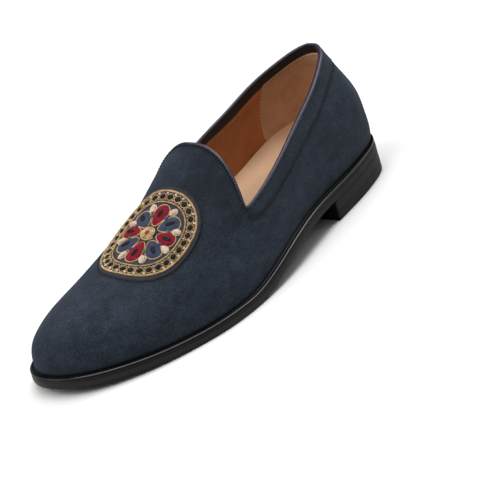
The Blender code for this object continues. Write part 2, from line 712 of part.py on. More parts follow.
def centre_pieces(pieces):
    # origin at the middle of the box around the shoe, on the floor
    points = []
    for piece in pieces:
        flat = np.empty(3 * len(piece.data.vertices))
        piece.data.vertices.foreach_get("co", flat)
        points.append(flat.reshape(-1, 3))
    every = np.concatenate(points)
    middle = 0.5 * (every.min(axis=0) + every.max(axis=0))
    middle[2] = every[:, 2].min()
    for piece in list(pieces) + [bpy.data.objects["heel_groove_cutter"]]:
        flat = np.empty(3 * len(piece.data.vertices))
        piece.data.vertices.foreach_get("co", flat)
        piece.data.vertices.foreach_set("co", (flat.reshape(-1, 3) - middle).ravel())
        piece.data.update()


for old in list(bpy.data.objects):
    bpy.data.objects.remove(old)

centre_pieces([
    build_upper(),
    build_piping(),
    build_insole(),
    build_outsole(),
    build_welt(),
    build_heel_block(),
    build_heel_lift(),
    build_badge(),
])
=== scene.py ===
import bmesh
import bpy
import numpy as np
from mathutils import Matrix, Vector


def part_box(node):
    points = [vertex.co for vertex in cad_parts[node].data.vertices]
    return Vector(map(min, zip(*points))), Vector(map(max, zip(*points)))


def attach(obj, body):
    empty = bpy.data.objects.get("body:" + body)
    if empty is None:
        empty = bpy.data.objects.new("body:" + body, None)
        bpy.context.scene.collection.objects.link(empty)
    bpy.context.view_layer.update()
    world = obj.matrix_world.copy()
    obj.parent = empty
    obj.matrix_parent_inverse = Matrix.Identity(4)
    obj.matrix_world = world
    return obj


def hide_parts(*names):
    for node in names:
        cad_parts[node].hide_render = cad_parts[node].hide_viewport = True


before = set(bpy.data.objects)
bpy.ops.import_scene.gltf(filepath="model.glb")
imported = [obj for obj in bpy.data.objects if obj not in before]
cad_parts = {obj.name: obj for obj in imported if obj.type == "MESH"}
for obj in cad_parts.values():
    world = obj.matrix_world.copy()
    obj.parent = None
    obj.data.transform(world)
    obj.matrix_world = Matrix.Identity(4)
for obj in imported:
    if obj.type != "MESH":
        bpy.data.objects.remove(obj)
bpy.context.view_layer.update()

mm = 0.001  # shapes are worked out in millimetres on the last, heel at x = 0

# the last: half widths at the feather edge and the ridge over the foot, by share of the length
last = {
    "length": 294.0,
    "columns": ("station", "outer", "inner", "ridgeSide", "ridgeHeight"),
    "rows": (
        (0.00, 0.0, 0.0, 0.0, 80.0),
        (0.04, 21.4, 20.4, 0.0, 79.0),
        (0.10, 28.2, 27.6, 0.2, 79.0),
        (0.18, 33.3, 31.2, 0.5, 85.0),
        (0.30, 38.6, 29.8, 1.0, 85.5),
        (0.42, 46.3, 28.6, 1.0, 74.0),
        (0.52, 51.4, 33.0, 0.6, 67.7),
        (0.62, 53.4, 41.0, 0.0, 56.2),
        (0.70, 51.7, 46.8, -1.0, 46.5),
        (0.78, 45.5, 49.0, -3.0, 38.6),
        (0.86, 36.1, 46.7, -5.6, 33.0),
        (0.93, 23.4, 38.9, -8.2, 27.2),
        (0.97, 12.7, 30.6, -9.6, 22.2),
        (1.00, -10.4, 10.4, -10.4, 0.0),
    ),
    "risePower": (2.7, 2.4),  # section fullness at the heel and at the forefoot
    "powerStations": (0.3, 0.6),
    "heelBack": (  # height over the feather edge, way forward
        (0, -1.1), (8, -3.5), (18, -3.9), (30, -2.9), (45, 3.0), (60, 10.2), (75, 16.2), (110, 30.0),
    ),
    "heelReach": 110.0,
    "swell": 7.6,  # the inner wall stands out over the hollow waist
    "swellMiddle": 127.6,
    "swellReach": 59.0,
    "swellRise": 16.0,
}
sole = {
    "seatBack": 13.7,
    "seatFront": 12.6,
    "breast": 76.0,
    "flatStart": 185.5,
    "flatEnd": 216.0,
    "toeSpring": 5.4,
    "springPower": 1.8,
    "archLift": 3.0,
    "outsoleThick": 4.6,
    "weltThick": 2.4,
    "gap": 0.3,
    "reach": 3.2,
    "liftThick": 6.0,
}
collar = {
    "backHeight": 87.6,
    "rows": ((0.12, 81.4), (0.25, 70.8), (0.38, 59.7)),
    "innerLift": 3.7,  # the inner top edge is higher over the waist
    "innerMiddle": 106.5,
    "innerReach": 50.0,
    "notchX": 156.5,
    "notchHeight": 49.8,
    "notchPlace": 0.6,
    "notchFootX": 200.0,
    "notchSoften": 40,  # smoothing passes over the topline
    "tipX": 141.5,
    "tongueBow": -1.7,
}


class Curve:
    # natural cubic through two columns
    def __init__(self, at, value):
        self.at, self.value = np.asarray(at, float), np.asarray(value, float)
        step = np.diff(self.at)
        rise = np.diff(self.value) / step
        terms = np.eye(len(self.at))
        right = np.zeros(len(self.at))
        for i in range(1, len(self.at) - 1):
            terms[i, i - 1:i + 2] = step[i - 1], 2 * (step[i - 1] + step[i]), step[i]
            right[i] = 6 * (rise[i] - rise[i - 1])
        self.bend = np.linalg.solve(terms, right)

    def __call__(self, place):
        place = np.clip(np.asarray(place, float), self.at[0], self.at[-1])
        i = np.clip(np.searchsorted(self.at, place) - 1, 0, len(self.at) - 2)
        step = self.at[i + 1] - self.at[i]
        a = (self.at[i + 1] - place) / step
        b = 1 - a
        bent = (a ** 3 - a) * self.bend[i] + (b ** 3 - b) * self.bend[i + 1]
        return a * self.value[i] + b * self.value[i + 1] + bent * step ** 2 / 6


def turnOf(x):  # half turn from heel to toe, so both ends come out round
    return np.arccos(1 - 2 * np.clip(x / last["length"], 0, 1)) / np.pi


def atTurn(turn):
    return last["length"] * (0.5 - 0.5 * np.cos(np.pi * turn))


def smoothStep(low, high, value):
    t = np.clip((value - low) / (high - low), 0, 1)
    return t * t * (3 - 2 * t)


def window(x, middle, reach):  # 1 at the middle, 0 from the reach on
    return np.cos(np.pi / 2 * np.clip((x - middle) / reach, -1, 1)) ** 2


def unit(vectors):
    return vectors / np.linalg.norm(vectors, axis=-1, keepdims=True)


def leftOf(way):  # directions in plan, turned by a quarter
    return np.stack([-way[..., 1], way[..., 0]], -1)


def runAlong(points):  # distance from the first point to each
    return np.append(0, np.cumsum(np.linalg.norm(np.diff(points, axis=0), axis=1)))


def pick(want, run, points):  # points of a route at the wanted distances
    return np.stack([np.interp(want, run, column) for column in points.T], -1)


def evenAlong(points, count):
    run = runAlong(points)
    return pick(np.linspace(0, run[-1], count), run, points)


lastTable = dict(zip(last["columns"], np.array(last["rows"]).T))
lastX = lastTable["station"] * last["length"]
outerHalf = Curve(turnOf(lastX), lastTable["outer"] - lastTable["ridgeSide"])
innerHalf = Curve(turnOf(lastX), lastTable["inner"] + lastTable["ridgeSide"])
ridgeCurve = Curve(turnOf(lastX), lastTable["ridgeHeight"])
ridgeSide = Curve(lastX, lastTable["ridgeSide"])
heelForward = Curve(*np.array(last["heelBack"]).T)
featherLift = sole["outsoleThick"] + sole["weltThick"] + 2 * sole["gap"]


def ridgeHeight(x):
    return np.maximum(ridgeCurve(turnOf(x)), 0)


def under(x):
    # straight heel seat, cubic waist with a lifted arch, flat tread, then the toe spring
    x = np.asarray(x, float)
    slope = (sole["seatFront"] - sole["seatBack"]) / sole["breast"]
    waistRun = sole["flatStart"] - sole["breast"]
    k = np.clip((sole["flatStart"] - x) / waistRun, 0, 1)
    waist = sole["seatFront"] * (3 * k ** 2 - 2 * k ** 3) - slope * waistRun * (k ** 3 - k ** 2)
    waist = waist + sole["archLift"] * 16 * (k * (1 - k)) ** 2
    toeRun = last["length"] + sole["reach"] - sole["flatEnd"]
    toe = sole["toeSpring"] * (np.maximum(x - sole["flatEnd"], 0) / toeRun) ** sole["springPower"]
    return np.where(x < sole["breast"], sole["seatBack"] + slope * x, waist + toe)


def overUnder(x, lift):
    return under(x) + lift


def feather(x):
    return under(x) + featherLift


def riseOf(point):  # height over the feather edge
    return point[..., 2] - feather(point[..., 0])


def onForm(x, z, side):
    # half width = plan half width times a superellipse of the height, leaned at the heel back
    rise = z - feather(x)
    fade = smoothStep(0, 1, 1 - x / last["heelReach"])
    turn = turnOf(x - heelForward(rise) * fade)
    half = np.maximum(outerHalf(turn) if side > 0 else innerHalf(turn), 0)
    if side < 0:
        swell = last["swell"] * window(x, last["swellMiddle"], last["swellReach"])
        half = half + swell * np.sin(np.pi / 2 * np.clip(rise / last["swellRise"], 0, 1))
    share = np.clip(rise / np.maximum(ridgeHeight(x), sole["gap"]), 0, 1)
    power = np.interp(x / last["length"], last["powerStations"], last["risePower"])
    return np.stack([x, ridgeSide(x) + side * half * np.sqrt(1 - share ** power), z], -1)


def topline(place, side):
    # side view of the top edge: collar from the heel back to the notch, then up the tongue's edge
    backX = float(heelForward(collar["backHeight"] - feather(0)))
    at, height = np.array(collar["rows"]).T
    at = np.concatenate([[backX], at * last["length"], [collar["notchX"]]])
    height = np.concatenate([[collar["backHeight"]], height, [collar["notchHeight"]]])
    q = np.clip(place / collar["notchPlace"], 0, 1)
    collarX = backX + (collar["notchX"] - backX) * (1 - np.cos(np.pi / 2 * q))
    collarZ = Curve(at, height)(collarX)
    if side < 0:
        collarZ = collarZ + collar["innerLift"] * window(collarX, collar["innerMiddle"], collar["innerReach"])
    r = np.clip((place - collar["notchPlace"]) / (1 - collar["notchPlace"]), 0, 1)
    tongueX = collar["notchX"] + (collar["tipX"] - collar["notchX"]) * np.sin(np.pi / 2 * r)
    tongueX = tongueX + collar["tongueBow"] * np.sin(np.pi * r)
    start = np.arcsin((collar["notchHeight"] - feather(collar["notchX"])) / ridgeHeight(collar["notchX"]))
    tongueZ = feather(tongueX) + ridgeHeight(tongueX) * np.sin(start + (np.pi / 2 - start) * r)
    onCollar = place <= collar["notchPlace"]
    edge = np.stack([np.where(onCollar, collarX, tongueX), np.where(onCollar, collarZ, tongueZ)], 1)
    for _ in range(collar["notchSoften"]):
        edge[1:-1] = 0.25 * edge[:-2] + 0.5 * edge[1:-1] + 0.25 * edge[2:]
    return edge


tableSize = {"columns": 480, "rows": 241}


def sideTable(side):
    # blend of the side view's four edges (topline, heel back, feather line, ridge), even along each column
    count = tableSize["rows"]
    place = np.linspace(0, 1, tableSize["columns"] + 1)
    top = topline(place, side)
    notch = collar["notchPlace"]
    lean = (float(turnOf(collar["notchFootX"])) - notch) / np.sin(np.pi * notch)
    share = 0.5 - 0.5 * np.cos(np.pi * (place + lean * np.sin(np.pi * place)))
    footX = float(heelForward(0)) * (1 - share) + last["length"] * share
    foot = np.stack([footX, feather(footX)], 1)
    backZ = np.linspace(top[0, 1], foot[0, 1], count)
    back = evenAlong(np.stack([heelForward(backZ - feather(0)), backZ], 1), count)
    ridgeX = atTurn(np.linspace(float(turnOf(collar["tipX"])), 1, count))
    ridge = evenAlong(np.stack([ridgeX, feather(ridgeX) + ridgeHeight(ridgeX)], 1), count)
    want = np.linspace(0, 1, count)
    v, s = want[None, :, None], share[:, None, None]
    sheet = (1 - v) * top[:, None] + v * foot[:, None] + (1 - s) * back[None] + s * ridge[None]
    sheet = sheet - (1 - s) * ((1 - v) * top[0] + v * foot[0]) - s * ((1 - v) * top[-1] + v * foot[-1])
    runs = np.stack([runAlong(column) for column in onForm(sheet[..., 0], sheet[..., 1], side)])
    even = np.stack([pick(want, run / run[-1], column) for run, column in zip(runs, sheet)])
    table = onForm(even[..., 0], even[..., 1], side)
    table[[0, -1], :, 1] = ridgeSide(table[[0, -1], :, 0])  # both sides meet at the heel back and the ridge
    return table, runs[:, -1]


outerTable, outerLength = sideTable(1)
innerTable, innerLength = sideTable(-1)
# a ring of columns: heel back, outer side, toe, inner side
formTable = np.concatenate([outerTable, innerTable[-2:0:-1]])
lengthTable = np.concatenate([outerLength, innerLength[-2:0:-1]])
ringStep = np.roll(formTable, -1, 0) - np.roll(formTable, 1, 0)
normalTable = np.cross(ringStep, np.gradient(formTable, axis=1))
normalTable[0] = normalTable[2] + normalTable[-2]  # the sheet has next to no width along the heel back
normalTable = unit(normalTable)
print("form table", formTable.shape)


def lookUp(table, i, j):
    # bilinear value of a table that closes on itself along its first axis
    n, m = table.shape[:2]
    i0 = np.floor(i).astype(int)
    j0 = np.clip(np.floor(j).astype(int), 0, m - 2)
    a, b = (i - i0)[..., None], (j - j0)[..., None]
    low = table[i0 % n, j0] * (1 - b) + table[i0 % n, j0 + 1] * b
    high = table[(i0 + 1) % n, j0] * (1 - b) + table[(i0 + 1) % n, j0 + 1] * b
    return low * (1 - a) + high * a


def columnLength(ring):
    n = len(lengthTable)
    return np.interp(np.mod(ring, 2) * n / 2, np.arange(n + 1), np.append(lengthTable, lengthTable[0]))


def formAt(ring, depth):
    # place on the form: ring 0 heel back, 1 toe, 2 heel back again; depth in mm down from the topline
    ring, depth = np.broadcast_arrays(np.asarray(ring, float), np.asarray(depth, float))
    i = ring * len(lengthTable) / 2
    j = depth / columnLength(ring) * (tableSize["rows"] - 1)
    return lookUp(formTable, i, j), unit(lookUp(normalTable, i, np.clip(j, 0, tableSize["rows"] - 1)))


def ringPlace(ring):  # share from heel back to toe on either side
    return 1 - np.abs(1 - np.mod(ring, 2))


def featherEdge(turn, side):
    x = atTurn(turn)
    return np.stack([x, ridgeSide(x) + side * (outerHalf if side > 0 else innerHalf)(turn)], -1)


def lastOutline(grow, turns):
    # outer and inner edge of the feather outline, moved outward by grow along its normals
    edges = []
    step = 1e-4
    for side in (1, -1):
        way = featherEdge(np.minimum(turns + step, 1), side) - featherEdge(np.maximum(turns - step, 0), side)
        normal = unit(leftOf(way)) * side
        normal[turns <= 0] = (-1, 0)
        normal[turns >= 1] = (1, 0)
        edges.append(featherEdge(turns, side) + normal * np.broadcast_to(grow, turns.shape)[:, None])
    return edges


soleLow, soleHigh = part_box("outsole")
soleSide = lastOutline(sole["reach"], np.linspace(0, 1, 400))[0][:, 1].max()
frameOrigin = np.array([-sole["reach"] - soleLow[0] / mm, soleSide - soleHigh[1] / mm, 0])
weldReach, sliverReach = 2e-6, 1e-7  # in metres


def addMesh(name, verts, faces, material, weld=False, shade=None):
    # verts in last millimetres, moved into the frame; shade is painted shade, one value per vertex
    mesh = bpy.data.meshes.new(name)
    places = (np.reshape(verts, (-1, 3)) - frameOrigin) * mm
    mesh.from_pydata(places.tolist(), [], faces if isinstance(faces, list) else faces.tolist())
    if shade is not None:
        mesh.attributes.new("shade", "FLOAT", "POINT").data.foreach_set("value", np.ravel(shade))
    if weld:
        work = bmesh.new()
        work.from_mesh(mesh)
        bmesh.ops.remove_doubles(work, verts=work.verts, dist=weldReach)
        bmesh.ops.dissolve_degenerate(work, edges=work.edges, dist=sliverReach)
        work.to_mesh(mesh)
        work.free()
    sides = np.empty(len(mesh.polygons), int)
    mesh.polygons.foreach_get("loop_total", sides)
    mesh.polygons.foreach_set("use_smooth", sides <= 4)  # an end face stays flat
    mesh.materials.append(material)
    piece = bpy.data.objects.new(name, mesh)
    bpy.context.scene.collection.objects.link(piece)
    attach(piece, "root")
    return piece


def gridFaces(rows, around, closeRows, closeAround, flip=False):
    # quads of a rows by around grid, closed either way when asked
    i, j = np.indices((rows - (not closeRows), around - (not closeAround)))
    n, m = (i + 1) % rows, (j + 1) % around
    quads = np.stack([i * around + j, n * around + j, n * around + m, i * around + m], -1).reshape(-1, 4)
    return quads[:, ::-1] if flip else quads


def tubes(paths, ups, radius, sides, flat=1.0, closed=False):
    # round rods along many paths at once: rings of cos and sin about each path's up and side
    way = np.roll(paths, -1, 1) - np.roll(paths, 1, 1) if closed else np.gradient(paths, axis=1)
    way /= np.linalg.norm(way, axis=2, keepdims=True) + 1e-12
    up = ups - way * np.sum(ups * way, axis=2, keepdims=True)
    up /= np.linalg.norm(up, axis=2, keepdims=True) + 1e-12
    aside = np.cross(way, up)
    angle = np.linspace(0, 2 * np.pi, sides, endpoint=False)
    radius = np.broadcast_to(np.asarray(radius, float), paths.shape[:2])[..., None, None]
    ring = np.cos(angle)[:, None] * flat * up[:, :, None] + np.sin(angle)[:, None] * aside[:, :, None]
    verts = paths[:, :, None] + radius * ring
    count, steps = paths.shape[:2]
    one = gridFaces(steps, sides, closed, True, True)
    faces = one[None] + (np.arange(count) * steps * sides)[:, None, None]
    return verts.reshape(-1, 3), faces.reshape(-1, 4)


def tapered(steps, share):  # rod radius that closes at both ends
    t = np.linspace(0, 1, steps)
    return np.sqrt(np.clip(np.minimum(t, 1 - t) / share, 0, 1))


class Wire:
    # a socket in a node tree; sums and products add Math nodes
    def __init__(self, tree, socket=None):
        self.tree, self.socket = tree, socket

    def make(self, kind, settings, inputs, output=0):
        node = self.tree.nodes.new("ShaderNode" + kind)
        for name, value in settings.items():
            setattr(node, name, value)
        feed(node, inputs)
        return Wire(self.tree, node.outputs[output])

    def maths(self, operation, first, second):
        return self.make("Math", {"operation": operation}, {0: first, 1: second})

    def __add__(self, other):
        return self.maths("ADD", self, other)

    def __radd__(self, other):
        return self.maths("ADD", other, self)

    def __sub__(self, other):
        return self.maths("SUBTRACT", self, other)

    def __rsub__(self, other):
        return self.maths("SUBTRACT", other, self)

    def __mul__(self, other):
        return self.maths("MULTIPLY", self, other)

    def __rmul__(self, other):
        return self.maths("MULTIPLY", other, self)


def feed(node, inputs):  # links wires and sets plain values
    for name, value in inputs.items():
        if isinstance(value, Wire):
            value.tree.links.new(value.socket, node.inputs[name])
        else:
            node.inputs[name].default_value = value


def ramp(value, low, high):  # 0 below low, 1 above high, smooth between
    inputs = {"Value": value, "From Min": low, "From Max": high}
    return value.make("MapRange", {"interpolation_type": "SMOOTHSTEP"}, inputs)


def mixColour(share, first, second):
    first, second = (k if isinstance(k, Wire) else (*k, 1) for k in (first, second))
    return share.make("Mix", {"data_type": "RGBA"}, {0: share, 6: first, 7: second}, 2)


def noise(place, size, detail, rough, lean=0.0):  # size is the width of one patch in millimetres
    inputs = {"Vector": place, "Scale": 1 / (size * mm), "Detail": detail, "Roughness": rough}
    return place.make("TexNoise", {}, inputs | {"Distortion": lean})


def stretched(place, scale, turn=(0, 0, 0)):
    return place.make("Mapping", {}, {"Vector": place, "Scale": scale, "Rotation": turn})


def bumped(height, distance, strength):
    return height.make("Bump", {}, {"Height": height, "Distance": distance * mm, "Strength": strength})


def shadeOf(wire):  # painted shade that addMesh keeps for each vertex, 0 where there is none
    return wire.make("Attribute", {"attribute_name": "shade"}, {}, 2)


def newMaterial(name):
    material = bpy.data.materials.new(name)
    material.use_nodes = True
    tree = material.node_tree
    return material, tree.nodes["Principled BSDF"], Wire(tree).make("TexCoord", {}, {}, 3)


suedeLook = {
    "dark": (0.0164, 0.0216, 0.0312),
    "light": (0.0355, 0.046, 0.0648),
    "shadedTone": (0.0055, 0.007, 0.0105),  # painted shade: tone mixed in by the shade attribute, in the seam's groove, the welt's crease and where the nap turns from the lamps
    "patches": ((30, 0.5, 0.5), (6.5, 0.6, 0.4)),  # width in mm, roughness and distortion
    "stretch": (0.7, 1, 1.2),
    "slant": (0, 0.5, 0.3),
    "fibre": 1.0,  # widths in mm
    "hair": 0.65,
    "hairStretch": (1, 1.8, 1.3),
    "sheen": 0.07,
    "sheenTint": (0.5, 0.62, 0.8, 1),
}


def suedeMaterial():
    # brushed patches of nap in two sizes, times a fine grain of fibre ends
    look = suedeLook
    material, shader, place = newMaterial("navySuede")
    nap = stretched(place, look["stretch"], look["slant"])
    broad, small = (noise(nap, width, 2, rough, lean) for width, rough, lean in look["patches"])
    fibre = noise(place, look["fibre"], 1, 0.5)
    hair = noise(stretched(place, look["hairStretch"]), look["hair"], 1, 0.5)
    colour = mixColour(ramp(broad * 0.5 + small * 0.5, 0.27, 0.73), look["dark"], look["light"])
    grain = fibre * 1.5 + hair * 1.1 - 0.3
    times = {"data_type": "RGBA", "blend_type": "MULTIPLY"}
    colour = colour.make("Mix", times, {0: 1.0, 6: colour, 7: grain}, 2)
    # painted shade and light: the shade attribute mixes the colour towards the shaded tone
    feed(shader, {
        "Base Color": mixColour(shadeOf(place), colour, look["shadedTone"]),
        "Roughness": 0.88 + fibre * 0.1,
        "Normal": bumped(fibre * 0.6 + hair * 0.5 + small * 0.3, 0.4, 0.6),
        "Specular IOR Level": 0.1,
        "Sheen Weight": look["sheen"],
        "Sheen Roughness": 0.5,
        "Sheen Tint": look["sheenTint"],
    })
    return material


# dark and light tone, roughness, grain and its depth in mm, coat, width of a patch in mm, gloss
leatherLook = {
    "pipingLeather": ((0.026, 0.0215, 0.042), (0.043, 0.036, 0.066), 0.28, 0.5, 0.01, 0.1, 14, 0.37),
    "facingLeather": ((0.0055, 0.005, 0.0095), (0.0105, 0.0088, 0.0165), 0.5, 0.6, 0.04, 0.0, 14, 0.2),
    "liningLeather": ((0.325, 0.1, 0.0185), (0.43, 0.146, 0.0325), 0.5, 0.6, 0.04, 0.05, 22, 0.5),
    "gripSuede": ((0.48, 0.3, 0.185), (0.58, 0.385, 0.25), 0.88, 0.5, 0.08, 0.0, 16, 0.5),
    "insoleLeather": ((0.72, 0.448, 0.27), (0.82, 0.534, 0.342), 0.5, 0.5, 0.03, 0.05, 34, 0.5),
    "soleEdge": ((0.005, 0.005, 0.0052), (0.009, 0.009, 0.0092), 0.32, 0.5, 0.004, (0.27, 0.44), 26, 0.0),
    "beadEdge": ((0.005, 0.005, 0.0055), (0.008, 0.008, 0.0085), 0.18, 0.8, 0.001, 0.0, 20, 0.43),
    "soleBottom": ((0.014, 0.014, 0.014), (0.022, 0.022, 0.022), 0.7, 0.8, 0.05, 0.0, 30, 0.3),
    "heelRubber": ((0.008, 0.008, 0.008), (0.014, 0.014, 0.0145), 0.5, 0.5, 0.03, 0.0, 20, 0.3),
}


def leatherMaterial(name, dark, light, rough, grain, depth, coat, patch, gloss):
    # pebbled grain of a given size, with slow colour change and a polished coat
    material, shader, place = newMaterial(name)
    slow = noise(place, patch, 4, 0.6, 0.4)
    pebbles = {"Vector": place, "Scale": 1 / (grain * mm)}
    cells = place.make("TexVoronoi", {"feature": "DISTANCE_TO_EDGE"}, pebbles)
    fine = noise(place, grain * 0.7, 3, 0.6)
    colour = mixColour(ramp(slow * 0.8 + fine * 0.2, 0.35, 0.68), dark, light)
    coatRough = 0.2
    if isinstance(coat, tuple):  # coat at the heel and at the forefoot
        along = place.make("SeparateXYZ", {}, {"Vector": place})
        coat = coat[0] + ramp(along, -0.07, 0.04) * (coat[1] - coat[0])
        coatRough = rough
    # painted shade: the shade attribute darkens the colour towards black, on the insole
    feed(shader, {
        "Base Color": mixColour(shadeOf(place), colour, (0, 0, 0)),
        "Roughness": rough + (slow - 0.5) * 0.16,
        "Normal": bumped(ramp(cells, 0.0, 0.25) * 0.5 + fine * 0.5, depth, 0.5),
        "Specular IOR Level": gloss,
        "Coat Weight": coat,
        "Coat Roughness": coatRough,
    })
    return material


# dark and light tone, roughness, then metal, sheen and gloss where they differ
threadLook = {
    "darkThread": ((0.004, 0.0045, 0.006), (0.009, 0.010, 0.014), 0.7),
    "beigeThread": ((0.62, 0.37, 0.2), (0.8, 0.54, 0.33), 0.6),
    "brownThread": ((0.09, 0.04, 0.02), (0.15, 0.075, 0.04), 0.6),
    "soleThread": ((0.025, 0.025, 0.025), (0.05, 0.05, 0.05), 0.7),
    "badgeFelt": ((0.03, 0.033, 0.039), (0.052, 0.056, 0.065), 0.9, 0.0, 0.05, 0.1),
    "goldThread": ((0.33, 0.2, 0.085), (0.74, 0.54, 0.3), 0.34, 0.7),
    "creamSilk": ((0.5, 0.37, 0.26), (0.8, 0.67, 0.54), 0.4),
    "blackSilk": ((0.003, 0.003, 0.003), (0.008, 0.008, 0.0085), 0.5, 0.0, 0.0, 0.25),
    "crimsonVelvet": ((0.13, 0.005, 0.014), (0.25, 0.012, 0.03), 0.85, 0.0, 0.04, 0.08),
    "blueVelvet": ((0.028, 0.036, 0.068), (0.052, 0.063, 0.108), 0.85, 0.0, 0.04, 0.08),
    "crimsonSilk": ((0.2, 0.008, 0.016), (0.36, 0.02, 0.035), 0.5),
    "blueSilk": ((0.012, 0.04, 0.11), (0.025, 0.08, 0.19), 0.5),
    "greenSilk": ((0.05, 0.09, 0.025), (0.1, 0.16, 0.05), 0.5),
}


def threadMaterial(name, dark, light, rough, metal=0.0, sheen=0.0, gloss=0.4):
    # twisted yarn: fine ridges and a slow change of tone
    material, shader, place = newMaterial(name)
    slow, fine = noise(place, 3.0, 3, 0.6), noise(place, 0.35, 2, 0.6)
    feed(shader, {
        "Base Color": mixColour(ramp(slow * 0.5 + fine * 0.5, 0.36, 0.64), dark, light),
        "Roughness": rough + (fine - 0.5) * 0.2,
        "Metallic": metal,
        "Normal": bumped(fine, 0.12, 0.6),
        "Specular IOR Level": gloss,
        "Sheen Weight": sheen,
    })
    return material


suede = suedeMaterial()
leather = {name: leatherMaterial(name, *look) for name, look in leatherLook.items()}
thread = {name: threadMaterial(name, *look) for name, look in threadLook.items()}
print("materials", len(bpy.data.materials))

upperLook = {
    "columns": 640,
    "rows": (8, 15, 70, 26),  # over the band, across the seam, down to the welt, inside
    "seamRows": 0.2,  # share of the band's height on each side of the seam
    "spread": 1.25,
    "thick": 1.1,
    "bandStep": 0.25,  # the collar band stands over the quarter
    "bandEdge": (-0.8, 0.2),  # from one side of the seam to the other
    "noSeam": 10.0,  # depth of the rows where no seam runs
    "leastSeam": 4.0,
    "seamFade": 0.012,  # ring place over which the seam ends
    "trough": 0.35,  # pulled in along the seam
    "troughWidth": 1.1,
    "tuck": 0.25,
    "tuckHeight": 9.0,
    "roll": 0.25,  # turn under at the feather edge
    "rollHeight": 1.2,
    "heelFoot": 1.1,  # the stiffened heel stands out over the welt
    "heelFootRise": 9.0,
    "heelFootReach": 75.0,
    "tongueStep": (0.57, 0.61),  # ring places between which the collar's edge becomes the tongue's
    # painted shade, strength and reach in mm: darker in the seam's groove, in the crease over the welt and
    # beside the tongue's cord, lighter beside the collar's cord
    "seamShade": (0.32, 1.9),
    "footShade": (0.6, 1.2),
    "collarShade": (-0.16, 3.5),
    "tongueShade": (0.55, 2.0),
    # broad painted light and shade: place on the form, reach and strength, added to the level; darker where
    # the nap turns from the lamps, lighter where it faces them
    "level": 0.2,
    "darkest": 0.8,
    "paintedLightAndShade": (
        ((150.0, 20.0, 76.0), 26.0, 0.28),  # tongue
        ((163.0, 34.0, 62.0), 17.0, 0.26),
        ((290.0, -12.0, 20.0), 24.0, 0.2),  # end of the toe
        ((266.0, 11.0, 36.0), 20.0, -0.2),  # top of the toe
        ((176.0, 52.0, 21.0), 18.0, -0.2),  # over the waist
        ((200.0, 45.0, 36.0), 14.0, -0.15),
    ),
    # route of the collar seam on one side: share of the way from heel back to toe, depth under the top edge
    "seam": (
        (0.0, 10.3), (0.15, 10.2), (0.273, 10.6), (0.361, 12.6), (0.44, 13.6),
        (0.518, 13.4), (0.55, 12.9), (0.574, 10.6), (0.588, 6.8), (0.597, 2.6),
    ),
    # soft creases: ring and depth at both ends, half width and lift in mm
    "creaseSteps": 25,
    "creaseTaper": 0.4,
    "creases": (
        (0.63, 10, 0.69, 36, 4.5, -0.35),
        (0.655, 8, 0.72, 30, 4.0, 0.25),
        (0.09, 17, 0.15, 46, 6.0, -0.4),
        (0.2, 20, 0.26, 44, 6.0, 0.25),
        (0.8, 46, 0.86, 72, 7.0, -0.35),
        (1.31, 12, 1.24, 40, 5.0, -0.35),
        (1.74, 20, 1.66, 46, 6.0, -0.4),
        (1.88, 16, 1.84, 40, 6.0, 0.3),
    ),
}
sideLength = 230  # millimetres of one side of the ring, about
seamRow = np.array(upperLook["seam"]) * (sideLength, 1)
seamRun = runAlong(seamRow)
seamWalk = np.linspace(0, seamRun[-1], 600)
seamAlong, seamDepth = (Curve(seamRun, column)(seamWalk) for column in seamRow.T)
seamSlope = np.gradient(seamDepth) / np.gradient(seamAlong)
seamPlace = seamAlong / sideLength


def tuckOf(rise):  # the suede is drawn in towards the welt
    return upperLook["tuck"] * np.clip(1 - rise / upperLook["tuckHeight"], 0, 1) ** 2


def seamAside(ring, depth):
    # distance below the collar seam, square to it, and 1 where the seam runs
    place = ringPlace(ring)
    aside = depth - np.interp(place, seamPlace, seamDepth)
    aside = aside / np.sqrt(1 + np.interp(place, seamPlace, seamSlope) ** 2)
    return aside, smoothStep(0, upperLook["seamFade"], seamPlace[-1] - place)


def suedeLift(ring, depth, point):
    # how far the suede stands off the form: band out, seam, creases and feather edge in
    aside, there = seamAside(ring, depth)
    lift = upperLook["bandStep"] * smoothStep(*upperLook["bandEdge"], -aside) * there
    lift = lift - upperLook["trough"] * np.exp(-(aside / upperLook["troughWidth"]) ** 2) * there
    t = np.linspace(0, 1, upperLook["creaseSteps"])
    fades = np.sin(np.pi * np.clip(t, 0.05, 0.95)) ** upperLook["creaseTaper"]  # narrows to its ends
    for ringA, depthA, ringB, depthB, wide, high in upperLook["creases"]:
        way, _ = formAt(ringA + (ringB - ringA) * t, depthA + (depthB - depthA) * t)
        near = np.full(point.shape[:-1], np.inf)
        for spot, fade in zip(way, fades):
            near = np.minimum(near, np.linalg.norm(point - spot, axis=-1) / fade)
        lift = lift + high * np.exp(-(near / wide) ** 2)
    rise = riseOf(point)
    roll = upperLook["roll"] * np.clip(1 - rise / upperLook["rollHeight"], 0, 1) ** 2
    heel = upperLook["heelFoot"] * smoothStep(0, 1, 1 - point[..., 0] / upperLook["heelFootReach"])
    return lift - tuckOf(rise) - roll + heel * np.exp(-(rise / upperLook["heelFootRise"]) ** 2)


def upperShade(ring, depth, point):
    # painted shade: level, plus a bell across each shaded line, plus a ball of each patch of painted light
    # and shade
    aside, there = seamAside(ring, depth)
    tongue = smoothStep(*upperLook["tongueStep"], ringPlace(ring))
    shade = upperLook["level"] + 0 * depth
    lines = (
        ("seam", aside, there), ("foot", riseOf(point), 1),
        ("collar", depth, 1 - tongue), ("tongue", depth, tongue),
    )
    for name, away, share in lines:
        strength, reach = upperLook[name + "Shade"]
        shade = shade + strength * np.exp(-(away / reach) ** 2) * share
    for place, reach, strength in upperLook["paintedLightAndShade"]:
        shade = shade + strength * np.exp(-np.sum((point - place) ** 2, axis=2) / reach ** 2)
    return np.clip(shade, 0, upperLook["darkest"])


